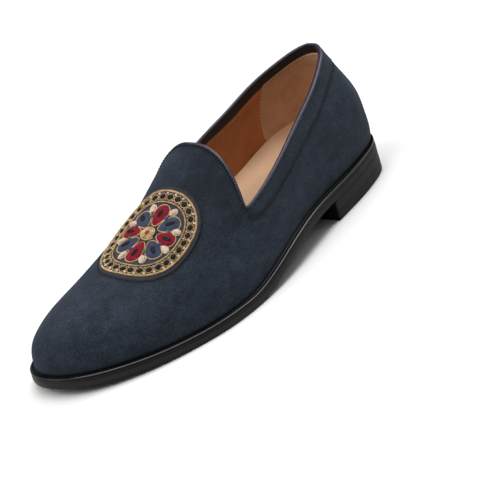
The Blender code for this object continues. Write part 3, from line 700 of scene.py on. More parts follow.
def buildUpper():
    # wall: the form plus the suede's lift outside, the form less the wall's thickness inside
    ring = np.linspace(0, 2, upperLook["columns"], endpoint=False)[:, None]
    length = columnLength(ring)
    overBand, acrossSeam, toWelt, within = upperLook["rows"]
    near, deepest = upperLook["seamRows"], upperLook["noSeam"]
    seam = np.interp(ringPlace(ring), seamPlace, seamDepth, right=deepest)
    seam = np.maximum(seam, upperLook["leastSeam"])
    band = np.linspace(0, 1 - near, overBand)[:-1] * seam
    across = np.linspace(-near, near, acrossSeam) * np.minimum(seam, deepest)
    top = np.concatenate([band, seam + across], 1)
    rest = 1 - (1 - np.linspace(0, 1, toWelt)[1:]) ** upperLook["spread"]
    depth = np.concatenate([top, top[:, -1:] + (length - top[:, -1:]) * rest], 1)
    point, normal = formAt(ring, depth)
    outside = point + normal * suedeLift(ring, depth, point)[..., None]
    shade = upperShade(ring, depth, point)
    point, normal = formAt(ring, length * np.linspace(1, 0, within))
    inside = point - normal * (upperLook["thick"] + tuckOf(riseOf(point)))[..., None]
    loop = np.concatenate([outside, inside], 1)
    faces = gridFaces(len(ring), loop.shape[1], True, True)
    shade = np.concatenate([shade, np.zeros(inside.shape[:2])], 1)
    piece = addMesh("suedeUpper", loop, faces, suede, False, shade)
    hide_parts("upper")


liningLook = {
    "columns": 320,
    "rows": 50,
    "outer": 1.25,
    "inner": 2.0,
    "start": 1.0,
    "end": 0.9,  # stops over the feather edge, under the insole's edge
    "facing": ((0, 6.4), (0.12, 6.4), (0.25, 6.4), (0.4, 6.2), (0.5, 5.8), (0.6, 5.5), (1, 5.5)),
    "facingTop": -1.05,  # a round lip stands on this beside the cord
    "facingThick": 0.25,
    "facingRows": (8, 14),
    "facingStart": 0.12,  # angle at which the lip begins
    "facingEdge": 0.5,  # thins out over this
    "thinnest": 0.05,  # share of the thickness left at an edge, squared
}
facingCurve = Curve(*np.array(liningLook["facing"]).T)


def facingDepth(ring):
    return facingCurve(ringPlace(ring))


def insideSkin(name, ring, depth, outer, inner, material, closed):
    # skin inside the upper, from outer to inner millimetres under the form
    point, normal = formAt(ring, depth)
    tuck = tuckOf(riseOf(point))
    near, far = (point - normal * (tuck + k)[..., None] for k in (outer, inner))
    loop = np.concatenate([near, far[:, ::-1]], 1)
    rows, half = near.shape[:2]
    faces = gridFaces(rows, 2 * half, closed, True)
    if not closed:  # quads between the two sheets close both ends
        j = np.arange(half - 1)
        first = np.stack([j, j + 1, 2 * half - 2 - j, 2 * half - 1 - j], 1)
        faces = np.concatenate([faces, first, first[:, ::-1] + (rows - 1) * 2 * half])
    return addMesh(name, loop, faces, material)


def buildLining():
    # lining: even rows from under the cord down to the insole's edge
    look, start = liningLook, liningLook["start"]
    ring = np.linspace(0, 2, look["columns"], endpoint=False)[:, None]
    depth = start + (columnLength(ring) - start - look["end"]) * np.linspace(0, 1, look["rows"])
    lining = insideSkin("lining", ring, depth, look["outer"], look["inner"], leather["liningLeather"], True)
    # facing: half circle over the lip, then straight down to an edge that thins out
    turned, straight = look["facingRows"]
    lip = np.linspace(look["facingStart"], np.pi / 2, turned + 1)
    angle = np.append(lip[:-1], np.full(straight, np.pi / 2))
    share = np.append(np.zeros(turned), np.linspace(0, 1, straight))
    width = facingDepth(ring)
    thick = np.clip((1 - share) * width / look["facingEdge"], look["thinnest"], 1)
    thick = look["facingThick"] * np.sqrt(thick)
    half = (look["inner"] + thick - look["outer"]) / 2
    depth = look["facingTop"] + (width - look["facingTop"]) * share - half * np.cos(angle)
    outer, inner = (look["outer"] + half * (1 + k * np.sin(angle)) for k in (-1, 1))
    facing = insideSkin("collarFacing", ring, depth, outer, inner, leather["facingLeather"], True)


gripLook = {
    "columns": 180,
    "rows": 50,
    "halfRing": 0.252,
    "bow": 0.034,
    "lean": -0.016,
    "thick": 0.3,
    "rim": 0.008,
    "end": 3.0,
    "overFacing": 1.0,
}


def gripEdge(down):  # front edge of the heel grip, as a ring place
    return gripLook["halfRing"] + gripLook["bow"] * np.sin(np.pi * down) + gripLook["lean"] * down


def gripDepth(ring, down, over):  # from the facing's edge, less an overlap, down to the insole
    top = facingDepth(ring) - over
    return top + (columnLength(ring) - gripLook["end"] - top) * down


def buildHeelGrip():
    # soft patch round the heel inside, with a bowed front edge on each side
    shares = np.linspace(-1, 1, gripLook["columns"]), np.linspace(0, 1, gripLook["rows"])
    across, down = np.meshgrid(*shares, indexing="ij")
    ring = across * gripEdge(down)
    depth = gripDepth(ring, down, gripLook["overFacing"])
    rim = np.sqrt(np.clip((1 - np.abs(across)) / gripLook["rim"], liningLook["thinnest"], 1))
    inner = liningLook["inner"] + gripLook["thick"] * rim
    outer = liningLook["inner"] - gripLook["thick"]
    grip = insideSkin("heelGrip", ring, depth, outer, inner, leather["gripSuede"], False)


# stitches: pitch, length and radius in mm, slant and arch over one stitch, side of the wall
stitchLook = {
    "band": {"pitch": 1.9, "length": 1.1, "radius": 0.36, "slant": 0.2, "arch": 0.3, "side": 1},
    "tongue": {"pitch": 2.1, "length": 0.9, "radius": 0.48, "slant": 1.3, "arch": 0.45, "side": 1},
    "collar": {"pitch": 2.0, "length": 0.7, "radius": 0.25, "slant": 0.6, "arch": 0.3, "side": 1},
    "lining": {"pitch": 2.4, "length": 0.8, "radius": 0.22, "slant": 0.0, "arch": 0.4, "side": -1},
    "rise": 0.1,  # over the suede
    "tongueDepth": 1.6,
    "collarDepth": 1.9,
    "liningGap": 1.5,  # under the facing's edge
    "gripAside": 0.006,  # in front of the grip's edge, as a ring place
    "gripDown": (0.02, 0.9),
    "start": 0.3,
    "steps": 6,
    "taper": 0.2,
}


def addStitches(name, ring, depth, offset, material, look):
    # short rods at an even pitch along a route on the form; offset is the lift of the cloth below
    point, _ = formAt(ring, depth)
    run = runAlong(point)
    start = np.arange(stitchLook["start"], run[-1] - look["length"], look["pitch"])
    t = np.linspace(0, 1, stitchLook["steps"])
    s = start[:, None] + look["length"] * t
    at, down = np.interp(s, run, ring), np.interp(s, run, depth) + look["slant"] * (t - 0.5)
    point, normal = formAt(at, down)
    lift = np.interp(s, run, np.broadcast_to(offset, run.shape))
    lift = lift + look["side"] * look["arch"] * (np.sin(np.pi * t) - 0.5)
    if look["side"] < 0:
        lift = lift - tuckOf(riseOf(point))
    path = point + normal * lift[..., None]
    verts, faces = tubes(path, normal, look["radius"] * tapered(stitchLook["steps"], stitchLook["taper"]), 5)
    piece = addMesh(name, verts, faces, material, True)


def buildStitches():
    dark, beige, brown = (thread[name] for name in ("darkThread", "beigeThread", "brownThread"))
    look, rise = stitchLook, stitchLook["rise"]
    for name, side in (("seamStitchesOuter", 0), ("seamStitchesInner", 2)):
        ring = np.abs(side - seamPlace)
        lift = suedeLift(ring, seamDepth, formAt(ring, seamDepth)[0]) + rise
        addStitches(name, ring, seamDepth, lift, dark, look["band"])
    ring = np.linspace(0.605, 1.395, 500)
    addStitches("tongueStitches", ring, look["tongueDepth"] + 0 * ring, rise, dark, look["tongue"])
    ring = np.linspace(-0.595, 0.595, 900)
    lift = upperLook["bandStep"]
    addStitches("collarStitches", ring, look["collarDepth"] + 0 * ring, lift, dark, look["collar"])
    inside = -liningLook["inner"]
    routes = (  # ends of the route on the ring, lift, thread
        ("liningStitchesOuter", 0.26, 0.585, inside, beige),
        ("liningStitchesInner", 1.415, 1.74, inside, beige),
        ("gripTopStitches", -0.246, 0.246, inside - gripLook["thick"], brown),
    )
    for name, low, high, lift, yarn in routes:
        ring = np.linspace(low, high, 300)
        depth = facingDepth(ring) + look["liningGap"]
        addStitches(name, ring, depth, lift, yarn, look["lining"])
    down = np.linspace(*look["gripDown"], 200)
    for name, side in (("gripStitchesOuter", 1), ("gripStitchesInner", -1)):
        ring = side * (gripEdge(down) + look["gripAside"])
        addStitches(name, ring, gripDepth(ring, down, 0), inside, beige, look["lining"])


pipingLook = {
    "radius": 1.05,
    "tall": 0.88,
    "columns": 640,
    "sides": 28,
    "top": 1.4,
    "out": 0.32,
    "smooth": 16,
}


def buildPiping():
    # leather cord on the top edge: circle carried along the topline, pushed up by its radius
    look = pipingLook
    ring = np.linspace(0, 2, look["columns"], endpoint=False)
    point, normal = formAt(ring, 0.0)
    below, _ = formAt(ring, 1.0)
    band = (upperLook["bandStep"] * (ringPlace(ring) < seamPlace[-1]))[:, None]
    up = unit(point - below)
    rise = look["top"] - look["radius"] * look["tall"]
    path = point - normal * ((liningLook["inner"] - band) / 2 - look["out"]) + up * rise
    for _ in range(look["smooth"]):  # goes round the notches beside the tongue
        path = 0.25 * np.roll(path, 1, 0) + 0.5 * path + 0.25 * np.roll(path, -1, 0)
    verts, faces = tubes(path[None], up[None], look["radius"], look["sides"], look["tall"], True)
    piece = addMesh("pipingCord", verts, faces, leather["pipingLeather"])
    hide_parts("topline_piping")


def slabVerts(profile, turns, across, height, front=None, hollow=None):
    # stations from heel to toe, each a loop: profile up the outer edge, over the top, down the inner edge
    outer, inner = [], []
    for grow, lift in profile:
        for edge, kept in zip(lastOutline(grow, turns), (outer, inner)):
            if front is not None:
                edge[:, 0] = np.minimum(edge[:, 0], front)
                edge[-1, 0] = front
            kept.append(np.column_stack([edge, height(edge[:, 0], lift)]))
    outer, inner = np.stack(outer, 1), np.stack(inner, 1)
    t = np.linspace(0, 1, across + 1)[1:-1]

    def bridge(first, second, lift, sunk):
        flat = first[:, None, :2] * (1 - t[:, None]) + second[:, None, :2] * t[:, None]
        z = height(flat[..., 0], lift)
        if sunk is not None:
            z = z + sunk(atTurn(turns)[:, None], t)
        return np.concatenate([flat, z[..., None]], -1)

    over = bridge(outer[:, -1], inner[:, -1], profile[-1][1], None)
    below = bridge(inner[:, 0], outer[:, 0], profile[0][1], hollow)
    return np.concatenate([outer, over, inner[:, ::-1], below], 1)


def slabFaces(loop, capped):
    rows, around = loop.shape[:2]
    faces = gridFaces(rows, around, False, True, True).tolist()
    if capped:  # one flat face closes the front end
        faces.append(list(range((rows - 1) * around, rows * around)))
    return faces


def paintBelow(piece, material, steep):
    # a second material on the faces that look down
    normal = np.empty(3 * len(piece.data.polygons))
    piece.data.polygons.foreach_get("normal", normal)
    piece.data.materials.append(material)
    piece.data.polygons.foreach_set("material_index", (normal[2::3] < steep).astype(int))


edgeTurns = np.linspace(0, 1, 161)
soleLook = {
    "across": 24,
    "edgeBow": 0.25,
    "edgeLifts": (1.2, 0.75, 7),  # bowed rows: start over the underside, end under the top, count
    "squareRun": 4.0,  # the edge is square over the heel and turns round within this
    "lower": ((1.2, 0), (0.75, 0.06), (0.35, 0.3), (0.12, 0.75)),  # inset and lift
    "upper": ((0.15, 0.3), (0.22, 0.08), (0.5, 0)),  # inset and drop
    "channel": 6.5,  # way in from the edge to the stitched channel
    "channelHalf": (1.5, 0.8),  # half width at its mouth and floor
    "channelDepth": 0.75,
    "channelFrom": (88.0, 96.0),
}


def buildOutsole():
    # section of channel, rounded lower edge, bowed edge and upper edge, carried round the outline
    thick, reach, run = sole["outsoleThick"], sole["reach"], soleLook["squareRun"]
    fore = smoothStep(sole["breast"] - run, sole["breast"] + run, atTurn(edgeTurns))
    sunk = soleLook["channelDepth"] * smoothStep(*soleLook["channelFrom"], atTurn(edgeTurns))
    mouth, floor = soleLook["channelHalf"]
    channel = ((mouth, 0), (floor, sunk), (-floor, sunk), (-mouth, 0))
    profile = [(reach - soleLook["channel"] - aside, lift) for aside, lift in channel]
    profile += [(reach - back * fore, lift) for back, lift in soleLook["lower"]]
    first, drop, count = soleLook["edgeLifts"]
    bow = soleLook["edgeBow"] * (0.3 + 0.7 * fore)
    lifts = np.linspace(first, thick - drop, count)
    profile += [(reach - bow * ((lift / thick - 0.5) * 2) ** 2, lift) for lift in lifts]
    profile += [(reach - back, thick - drop) for back, drop in soleLook["upper"]]
    loop = slabVerts(profile, edgeTurns, soleLook["across"], overUnder)
    piece = addMesh("outsoleLeather", loop, slabFaces(loop, False), leather["soleEdge"], True)
    paintBelow(piece, leather["soleBottom"], -0.6)
    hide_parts("outsole")


weltLook = {
    "width": (0.4, 1.0),  # share of the bead's width at the heel and at the forefoot
    "grows": (60.0, 130.0),
    "edgeInset": 0.05,
    # section, as inset from the edge and lift over the base: flank above the sole
    "flank": ((0.6, -0.28), (0.2, -0.24), (0.05, -0.1), (0.0, 0.15), (0.0, 0.9)),
    # inset and drop under the top: groove, underside of the bead, its polished bevel, fall to the suede
    "groove": ((0.34, 1.2), (0.34, 1.04)),
    "bevel": ((0.1, 0.86), (0.0, 0.68), (0.05, 0.48), (0.22, 0.34), (0.46, 0.18), (0.7, 0.06), (0.9, 0.0)),
    "fall": ((1.15, 0.1), (1.35, 0.45), (1.6, 0.65)),
    # way out from the feather edge: foot, by its lift, and the hidden top, by its drop
    "foot": (-3.0, -0.28),
    "hidden": ((0.1, 0.35), (-0.6, -0.2), (-3.0, -0.2)),
}


def buildWelt():
    # section of flank, groove, bead and fall, carried round the outline
    base, thick = sole["outsoleThick"] + sole["gap"], sole["weltThick"]
    reach = sole["reach"] - weltLook["edgeInset"]
    low, high = weltLook["width"]
    width = low + (high - low) * smoothStep(*weltLook["grows"], atTurn(edgeTurns))
    profile = [weltLook["foot"]] + [(reach - back, lift) for back, lift in weltLook["flank"]]
    polished = len(profile) + len(weltLook["groove"])
    for part in ("groove", "bevel", "fall"):
        profile += [(reach - back * width, thick - drop) for back, drop in weltLook[part]]
    profile += [(grow, thick - drop) for grow, drop in weltLook["hidden"]]
    loops = []
    for grow, lift in profile:
        outer, inner = lastOutline(grow, edgeTurns)
        flat = np.concatenate([outer, inner[-2:0:-1]])
        loops.append(np.column_stack([flat, overUnder(flat[:, 0], base + lift)]))
    ring = np.stack(loops, 1)
    faces = gridFaces(len(ring), len(profile), True, True, True)
    piece = addMesh("weltBead", ring, faces, leather["soleEdge"])
    row = np.arange(len(faces)) % len(profile)
    shiny = (row >= polished) & (row < polished + len(weltLook["bevel"]))
    piece.data.materials.append(leather["beadEdge"])
    piece.data.polygons.foreach_set("material_index", shiny.astype(int))
    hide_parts("welt")


heelLook = {
    "inset": 0.06,
    "gap": 0.02,  # under the sole
    "stations": (90, 60),  # of the stack and of the top piece between its grooves
    "across": (12, 84),
    "rows": 9,
    "seam": 0.45,  # layer line, as a share of the stack's height
    "seamRows": (-0.04, 0.04, 5),
    "seamHalf": 0.03,
    "seamDepth": 0.05,
    "rim": 0.04,  # top and bottom of the stack are drawn in by so many mm, over that share of its height
    "lower": ((0.7, 0.0), (0.3, 0.08), (0.08, 0.4)),  # top piece's lower edge, inset and lift
    "lifts": (0.9, 0.3, 6),
    "upperInset": 0.04,
    "grooves": 9,
    "grooveFirst": 36.0,
    "groovePitch": 4.4,
    "grooveWidth": 1.8,
    "grooveDepth": 1.2,
    "grooveEnds": (0.1, 0.9),
    "grooveSlope": 0.08,  # of its walls, as a share of half the width
    "grooveRun": 0.012,  # of its ends, as a share of the heel's width
}


def heelTurns(count):
    return np.linspace(0, float(turnOf(sole["breast"])), count)


def buildHeelStack():
    # upright sides with one thin layer line and both rims drawn in a little
    look = heelLook
    margin, base = sole["reach"] - look["inset"], sole["liftThick"]
    share = np.append(np.linspace(0, 1, look["rows"]), look["seam"] + np.linspace(*look["seamRows"]))
    share = np.unique(share)
    sunk = look["seamDepth"] * np.clip(1 - np.abs(share - look["seam"]) / look["seamHalf"], 0, 1)
    sunk = sunk + look["rim"] * np.clip(1 - np.minimum(share, 1 - share) / look["rim"], 0, 1)

    def between(x, k):
        return base + (under(x) - look["gap"] - base) * k

    profile = list(zip(margin - sunk, share))
    loop = slabVerts(profile, heelTurns(look["stations"][0]), look["across"][0], between, sole["breast"])
    piece = addMesh("heelStack", loop, slabFaces(loop, True), leather["soleEdge"], True)
    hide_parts("heel_block")


def buildHeelTop():
    # flat slab with a rounded lower edge; stations stand at the foot and brow of every groove's walls
    look = heelLook
    margin, thick, half = sole["reach"] - look["inset"], sole["liftThick"], 0.5 * look["grooveWidth"]
    middles = look["grooveFirst"] + look["groovePitch"] * np.arange(look["grooves"])
    foot, brow = 1 - look["grooveSlope"], 1 + look["grooveSlope"]
    walls = (middles[:, None] + half * np.array([-brow, -foot, foot, brow])).ravel()
    rest = atTurn(heelTurns(look["stations"][1]))
    rest = rest[np.abs(rest[:, None] - middles).min(1) > 1.2 * half]
    turns = turnOf(np.sort(np.concatenate([walls, rest])))
    low, high = look["grooveEnds"]

    def grooves(x, t):
        # trapezoid across each groove times one along it
        aside = np.abs(x[..., None] - middles).min(-1) / half
        long = np.clip(np.minimum(t - low, high - t) / look["grooveRun"], 0, 1)
        return look["grooveDepth"] * np.clip((brow - aside) / (brow - foot), 0, 1) * long

    def level(x, lift):
        return 0 * x + lift

    first, drop, count = look["lifts"]
    profile = [(margin - back, lift) for back, lift in look["lower"]]
    profile += [(margin, lift) for lift in np.linspace(first, thick - drop, count)]
    profile.append((margin - look["upperInset"], thick))
    loop = slabVerts(profile, turns, look["across"][1], level, sole["breast"], grooves)
    piece = addMesh("heelTopPiece", loop, slabFaces(loop, True), leather["soleEdge"], True)
    paintBelow(piece, leather["heelRubber"], -0.9)
    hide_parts("heel_lift")


insoleLook = {
    "worn": 0.4,  # painted shade: how much darker the footbed's middle is painted, to tone down the overhead lamp's light there
    "insoleShadeAt": (92.0, 2.0),
    "insoleShadeReach": (50.0, 19.0),
    # station, height over the underside along the middle and at the edge
    "rows": (
        (0.00, 15.0, 25.0), (0.14, 15.0, 24.6), (0.22, 13.8, 20.9), (0.30, 12.4, 17.6),
        (0.42, 10.6, 13.8), (0.55, 9.2, 10.4), (0.70, 8.3, 8.6), (1.00, 7.9, 7.9),
    ),
    "dish": 2.4,
    "cup": 24.0,
    "across": 56,
    "press": 0.15,  # into the grip
    "footInset": 4.4,
    "footLift": 0.1,
    # soft hollows: both ends, half width and lift
    "creases": ((62, -6, 84, 4, 3.0, -0.35), (96, -16, 112, -4, 4.0, -0.3), (40, 2, 52, 14, 4.0, -0.25)),
}
insoleStation, insoleMiddle, insoleEdge = np.array(insoleLook["rows"]).T
middleHeight = Curve(insoleStation * last["length"], insoleMiddle)
edgeHeight = Curve(insoleStation * last["length"], insoleEdge)


def wallOutline(rise, inset, turns):
    # edges of the upper's inside at heights over the feather edge, moved inward along the plan's normals
    at = atTurn(turns)
    x = at + heelForward(rise) * smoothStep(0, 1, 1 - at / last["heelReach"])
    edges = []
    for side in (1, -1):
        edge = onForm(x, feather(x) + rise, side)[:, :2]
        edge[[0, -1], 1] = ridgeSide(x[[0, -1]])
        normal = unit(leftOf(np.gradient(edge, axis=0))) * side
        normal[0], normal[-1] = (-1, 0), (1, 0)
        edges.append(edge - normal * inset[:, None])
    return edges


def buildInsole():
    # footbed: height = middle + (edge - middle) times a power across, cupped at the heel end
    at = atTurn(edgeTurns)
    rise = edgeHeight(at) - featherLift
    lean = last["swell"] / last["swellRise"] * np.pi / 2 * window(at, last["swellMiddle"], last["swellReach"])
    wall = liningLook["inner"] + gripLook["thick"]
    inset = wall * np.sqrt(1 + lean ** 2) - insoleLook["press"] + tuckOf(rise)
    outer, inner = wallOutline(rise, inset, edgeTurns)
    share = 0.5 - 0.5 * np.cos(np.pi * np.linspace(0, 1, insoleLook["across"] + 1))
    flat = outer[:, None] * (1 - share[:, None]) + inner[:, None] * share[:, None]
    x = flat[..., 0]
    aside = np.abs(2 * share - 1) ** insoleLook["dish"]
    cup = np.clip(1 - x / insoleLook["cup"], 0, 1) ** insoleLook["dish"]
    middle, edge = middleHeight(x), edgeHeight(x)
    z = under(x) + middle + (edge - middle) * (aside + cup - aside * cup)
    for *ends, wide, deep in insoleLook["creases"]:
        start, way = np.array(ends[:2]), np.subtract(ends[2:], ends[:2])
        t = np.clip((flat - start) @ way / (way @ way), 0, 1)
        away = np.linalg.norm(flat - start - t[..., None] * way, axis=-1)
        z = z + deep * np.exp(-(away / wide) ** 2) * np.sin(np.pi * np.clip(t, 0.08, 0.92))
    top = np.concatenate([flat, z[..., None]], -1)
    base = sole["outsoleThick"] + insoleLook["footLift"]
    outline = lastOutline(-insoleLook["footInset"], edgeTurns)
    outer, inner = (np.column_stack([foot, overUnder(foot[:, 0], base)])[:, None] for foot in outline)
    loop = np.concatenate([outer, top, inner], 1)
    faces = gridFaces(len(edgeTurns), loop.shape[1], False, True, True)
    # painted shade, darkest in the middle of the footbed and gone towards its edges
    far = (loop[..., :2] - insoleLook["insoleShadeAt"]) / insoleLook["insoleShadeReach"]
    worn = insoleLook["worn"] * np.exp(-(far ** 2).sum(-1) ** 3)
    piece = addMesh("insoleSock", loop, faces, leather["insoleLeather"], True, worn)
    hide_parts("insole")


soleStitchLook = {"pitch": 4.2, "length": 3.0, "radius": 0.35, "arch": 0.25, "from": 98.0, "end": 4.0}


def buildSoleStitches():
    # stitches in the forefoot's channel, seen from below
    look = soleStitchLook
    turns = np.linspace(float(turnOf(look["from"])), 1, 400)
    outer, inner = lastOutline(sole["reach"] - soleLook["channel"], turns)
    flat = evenAlong(np.concatenate([outer, inner[-2::-1]]), 3000)
    run = runAlong(flat)
    t = np.linspace(0, 1, stitchLook["steps"])
    spot = pick(np.arange(0, run[-1] - look["end"], look["pitch"])[:, None] + look["length"] * t, run, flat)
    z = overUnder(spot[..., 0], soleLook["channelDepth"] - look["arch"] * np.sin(np.pi * t))
    path = np.concatenate([spot, z[..., None]], -1)
    down = np.broadcast_to([0.0, 0.0, -1.0], path.shape)
    verts, faces = tubes(path, down, look["radius"] * tapered(stitchLook["steps"], stitchLook["taper"]), 6)
    piece = addMesh("channelStitches", verts, faces, thread["soleThread"], True)


buildUpper()
buildLining()
buildHeelGrip()
buildPiping()
buildStitches()
buildOutsole()
buildWelt()
buildHeelStack()
buildHeelTop()
buildInsole()
buildSoleStitches()
print("shoe pieces made")

badgeLook = {
    "centreX": 201.0,
    "side": 8.0,
    "half": (44, 46),  # reach of the table of places, along the ridge and across it
    "perMm": 2,
    "length": 70.0,
    "width": 60.0,
    "fullness": 2.4,
    "felt": 1.2,  # top of the felt over the suede
    "edge": 0.5,
    "around": 180,
    "rope": 0.905,  # rings, as shares of the oval
    "waves": (0.725, 0.862),
    "innerCord": 0.69,
    "waveCount": 15,
    "waveSteps": 30,
    "petals": 8,
    "petalFrom": 6.0,
    "petalTo": 0.63,
    "petalHalf": 4.9,
    "petalDome": 1.4,
    "dropAt": 0.575,  # shares of the oval between two petals
    "knotAt": 0.4,
    # twisted cords: lift over the felt, radius of a ply, length of one twist, sides, steps in a twist
    "ropeTwist": (0.4, 0.4, 2.6, 6, 9),
    "innerTwist": (0.26, 0.26, 1.6, 6, 9),
    "waveTwist": (0.22, 0.18, 1.15, 5, 7),
    "petalTwist": (0.26, 0.22, 1.3, 5, 7),
    # padded drops: half length, half width, lift over the felt, dome, strands, radius of the thread
    "field": (1.9, 1.25, 0.0, 0.75, 5, 0.36),
    "vein": (3.2, 1.2, 1.1, 0.6, 4, 0.42),
    "drop": (3.5, 2.0, 0.0, 1.1, 5, 0.46),
    # knots: size, lift over the felt, radius of the thread
    "creamKnot": (0.75, 0.0, 0.28),
    "goldKnot": (0.5, 0.0, 0.24),
    "greenKnot": (1.15, 0.2, 0.34),
    "blueKnot": (1.15, 0.2, 0.34),
    "heartKnot": (1.5, 0.9, 0.42),
    # stitches over the felt's edge: count, shares of the oval, lifts over the felt, radius
    "edgeStitches": (150, (0.965, 1.002), (0.0, 0.14, 0.16, 0.1, -0.05, -0.35, -0.7), 0.2),
    # spiral of thread in the middle: turns, radius at start and growth, lift and dome, radius of the thread
    "boss": (3.2, 1.3, 3.7, 0.3, 1.2, 0.56),
}


def badgeTables():
    # places on the vamp by distance along the ridge and across it, and their normals
    look = badgeLook
    x = np.linspace(collar["tipX"], last["length"], 600)
    run = runAlong(np.stack([x, ridgeSide(x), feather(x) + ridgeHeight(x)], 1))
    along, across = (np.linspace(-half, half, 2 * half * look["perMm"] + 1) for half in look["half"])
    at = np.interp(np.interp(look["centreX"], x, run) + along, run, x)
    z = feather(at)[:, None] + ridgeHeight(at)[:, None] * np.cos(np.linspace(0, np.pi / 2, 400))
    place = np.zeros((len(along), len(across), 3))
    for side in (1, -1):
        sections = onForm(np.broadcast_to(at[:, None], z.shape), z, side)
        sections[:, 0, 1] = ridgeSide(at)
        chosen = np.nonzero(across * side >= 0)[0]
        want = np.abs(across[chosen])
        place[:, chosen] = [pick(want, runAlong(section), section) for section in sections]
    return place, unit(np.cross(np.gradient(place, axis=0), np.gradient(place, axis=1)))


badgePlace, badgeNormal = badgeTables()
ovalHalf = 0.5 * np.array([badgeLook["length"], badgeLook["width"]])


def onBadge(flat, lift):
    # flat holds the way along the ridge and across it from the badge's middle, lift is off the suede
    index = (flat + badgeLook["half"] + np.array([0, badgeLook["side"]])) * badgeLook["perMm"]
    index = np.clip(index, 0, np.array(badgePlace.shape[:2]) - 1.01)
    normal = lookUp(badgeNormal, index[..., 0], index[..., 1])
    place = lookUp(badgePlace, index[..., 0], index[..., 1])
    return place + normal * np.broadcast_to(lift, flat.shape[:-1])[..., None], normal


def circle(turn):
    return np.stack([np.cos(turn), np.sin(turn)], -1)


def oval(share, count, start=0.0):
    # evenly spaced points round the full oval, scaled by a share
    edge = circle(np.linspace(0, 2 * np.pi, 2001))
    edge = np.sign(edge) * np.abs(edge) ** (2 / badgeLook["fullness"]) * ovalHalf
    run = runAlong(edge)
    want = np.mod((np.arange(count) + start) / count, 1) * run[-1]
    return np.asarray(share)[..., None] * pick(want, run, edge)


def addBadge(name, mesh, material, weld=True):
    piece = addMesh(name, *mesh, thread[material], weld)
    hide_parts("vamp_badge")


def joined(parts):
    # several meshes as one
    shift = np.cumsum([0] + [len(verts) for verts, _ in parts[:-1]])
    return np.concatenate([v for v, _ in parts]), np.concatenate([f + s for (_, f), s in zip(parts, shift)])


def twisted(path, lift, ply, pitch, sides, perTurn):
    # two plies wound round a closed path in the badge's plane: cos of the wind sideways, sin of it up
    path = np.concatenate([path, path[:1]])
    turns = max(int(round(runAlong(path)[-1] / pitch)), 2)
    even = evenAlong(path, turns * perTurn + 1)[:-1]
    aside = leftOf(unit(np.roll(even, -1, 0) - np.roll(even, 1, 0)))
    wind = 2 * np.pi * np.arange(len(even)) / perTurn + np.pi * np.arange(2)[:, None]
    flat = even + ply * np.cos(wind)[..., None] * aside
    paths, ups = onBadge(flat, badgeLook["felt"] + lift + ply * np.sin(wind))
    return tubes(paths, ups, ply, sides, 1, True)


def satin(middle, way, halfLong, halfWide, lift, dome, strands, radius, steps=8):
    # padded drops: strands along the drop, spread by a sine and lifted by a round section
    k = np.linspace(-1, 1, strands)[:, None]
    t = np.linspace(0, 1, steps)
    p = (2 * t - 1) * halfLong * (1 - 0.1 * k ** 2)
    q = k * halfWide * np.sin(np.pi * (0.06 + 0.88 * t)) ** 0.8 * (1.15 - 0.3 * t)
    middle, way = middle[:, None, None], way[:, None, None]
    flat = middle + way * p[..., None] + leftOf(way) * q[..., None]
    high = dome * np.sqrt(1 - 0.9 * k ** 2) * np.sin(np.pi * (0.04 + 0.92 * t)) ** 0.5
    paths, ups = onBadge(flat, badgeLook["felt"] + lift + high)
    return tubes(paths.reshape(-1, steps, 3), ups.reshape(-1, steps, 3), radius * tapered(steps, 0.15), 5)


def knots(middle, size, lift, radius, steps=36):
    # a thread wound down a small dome from its top
    t = np.linspace(0, 1, steps)
    flat = middle[:, None] + circle(2 * np.pi * 2.6 * np.sqrt(t)) * (size * np.sqrt(t) * 0.95)[:, None]
    paths, ups = onBadge(flat, badgeLook["felt"] + lift + size * 0.8 * np.sqrt(1 - t ** 2))
    return tubes(paths, ups, radius * tapered(steps, 0.04), 6)


def petalOutline(middle, way, halfLong, count=64):
    # egg: half length times cos along its way, half width times sin across, fuller outward
    t = np.linspace(0, 2 * np.pi, count, endpoint=False)
    p, q = halfLong * np.cos(t), badgeLook["petalHalf"] * np.sin(t) * (1 + 0.3 * np.cos(t))
    return middle + p[:, None] * way + q[:, None] * leftOf(way)


def ringed(outline, middle, share, high):
    # plate of rings about a middle: each is the outline drawn in to a share, at its own height
    flat = middle + share[:, None, None] * (outline - middle)
    verts, _ = onBadge(flat, high[:, None])
    return verts, gridFaces(len(share), len(outline), False, True)


def padded(outline, middle):
    # velvet pad: rings from the middle to the outline over a round dome, and back below
    bend = np.linspace(0, np.pi / 2, 9)
    share = np.append(np.sin(bend), [0.7, 0.0])
    high = np.append(np.cos(bend) * badgeLook["petalDome"], [-0.3, -0.3])
    verts, faces = ringed(outline, middle, share, badgeLook["felt"] + high)
    return verts.reshape(-1, 3), faces


def buildBadgeFelt():
    # felt plate with a rounded edge: rings from the middle over the top, round the edge and back below
    top, edge = badgeLook["felt"], badgeLook["edge"]
    bend, flat = np.linspace(0, np.pi / 2, 6), np.linspace(0, 0.95, 24)
    share = np.concatenate([flat, 0.97 + 0.03 * np.sin(bend), [1.0, 0.9, 0.5, 0.0]])
    high = np.concatenate([top + 0 * flat, top - edge + edge * np.cos(bend), [0.0, -0.1, -0.1, -0.1]])
    addBadge("badgeFelt", ringed(oval(1, badgeLook["around"]), 0, share, high), "badgeFelt")


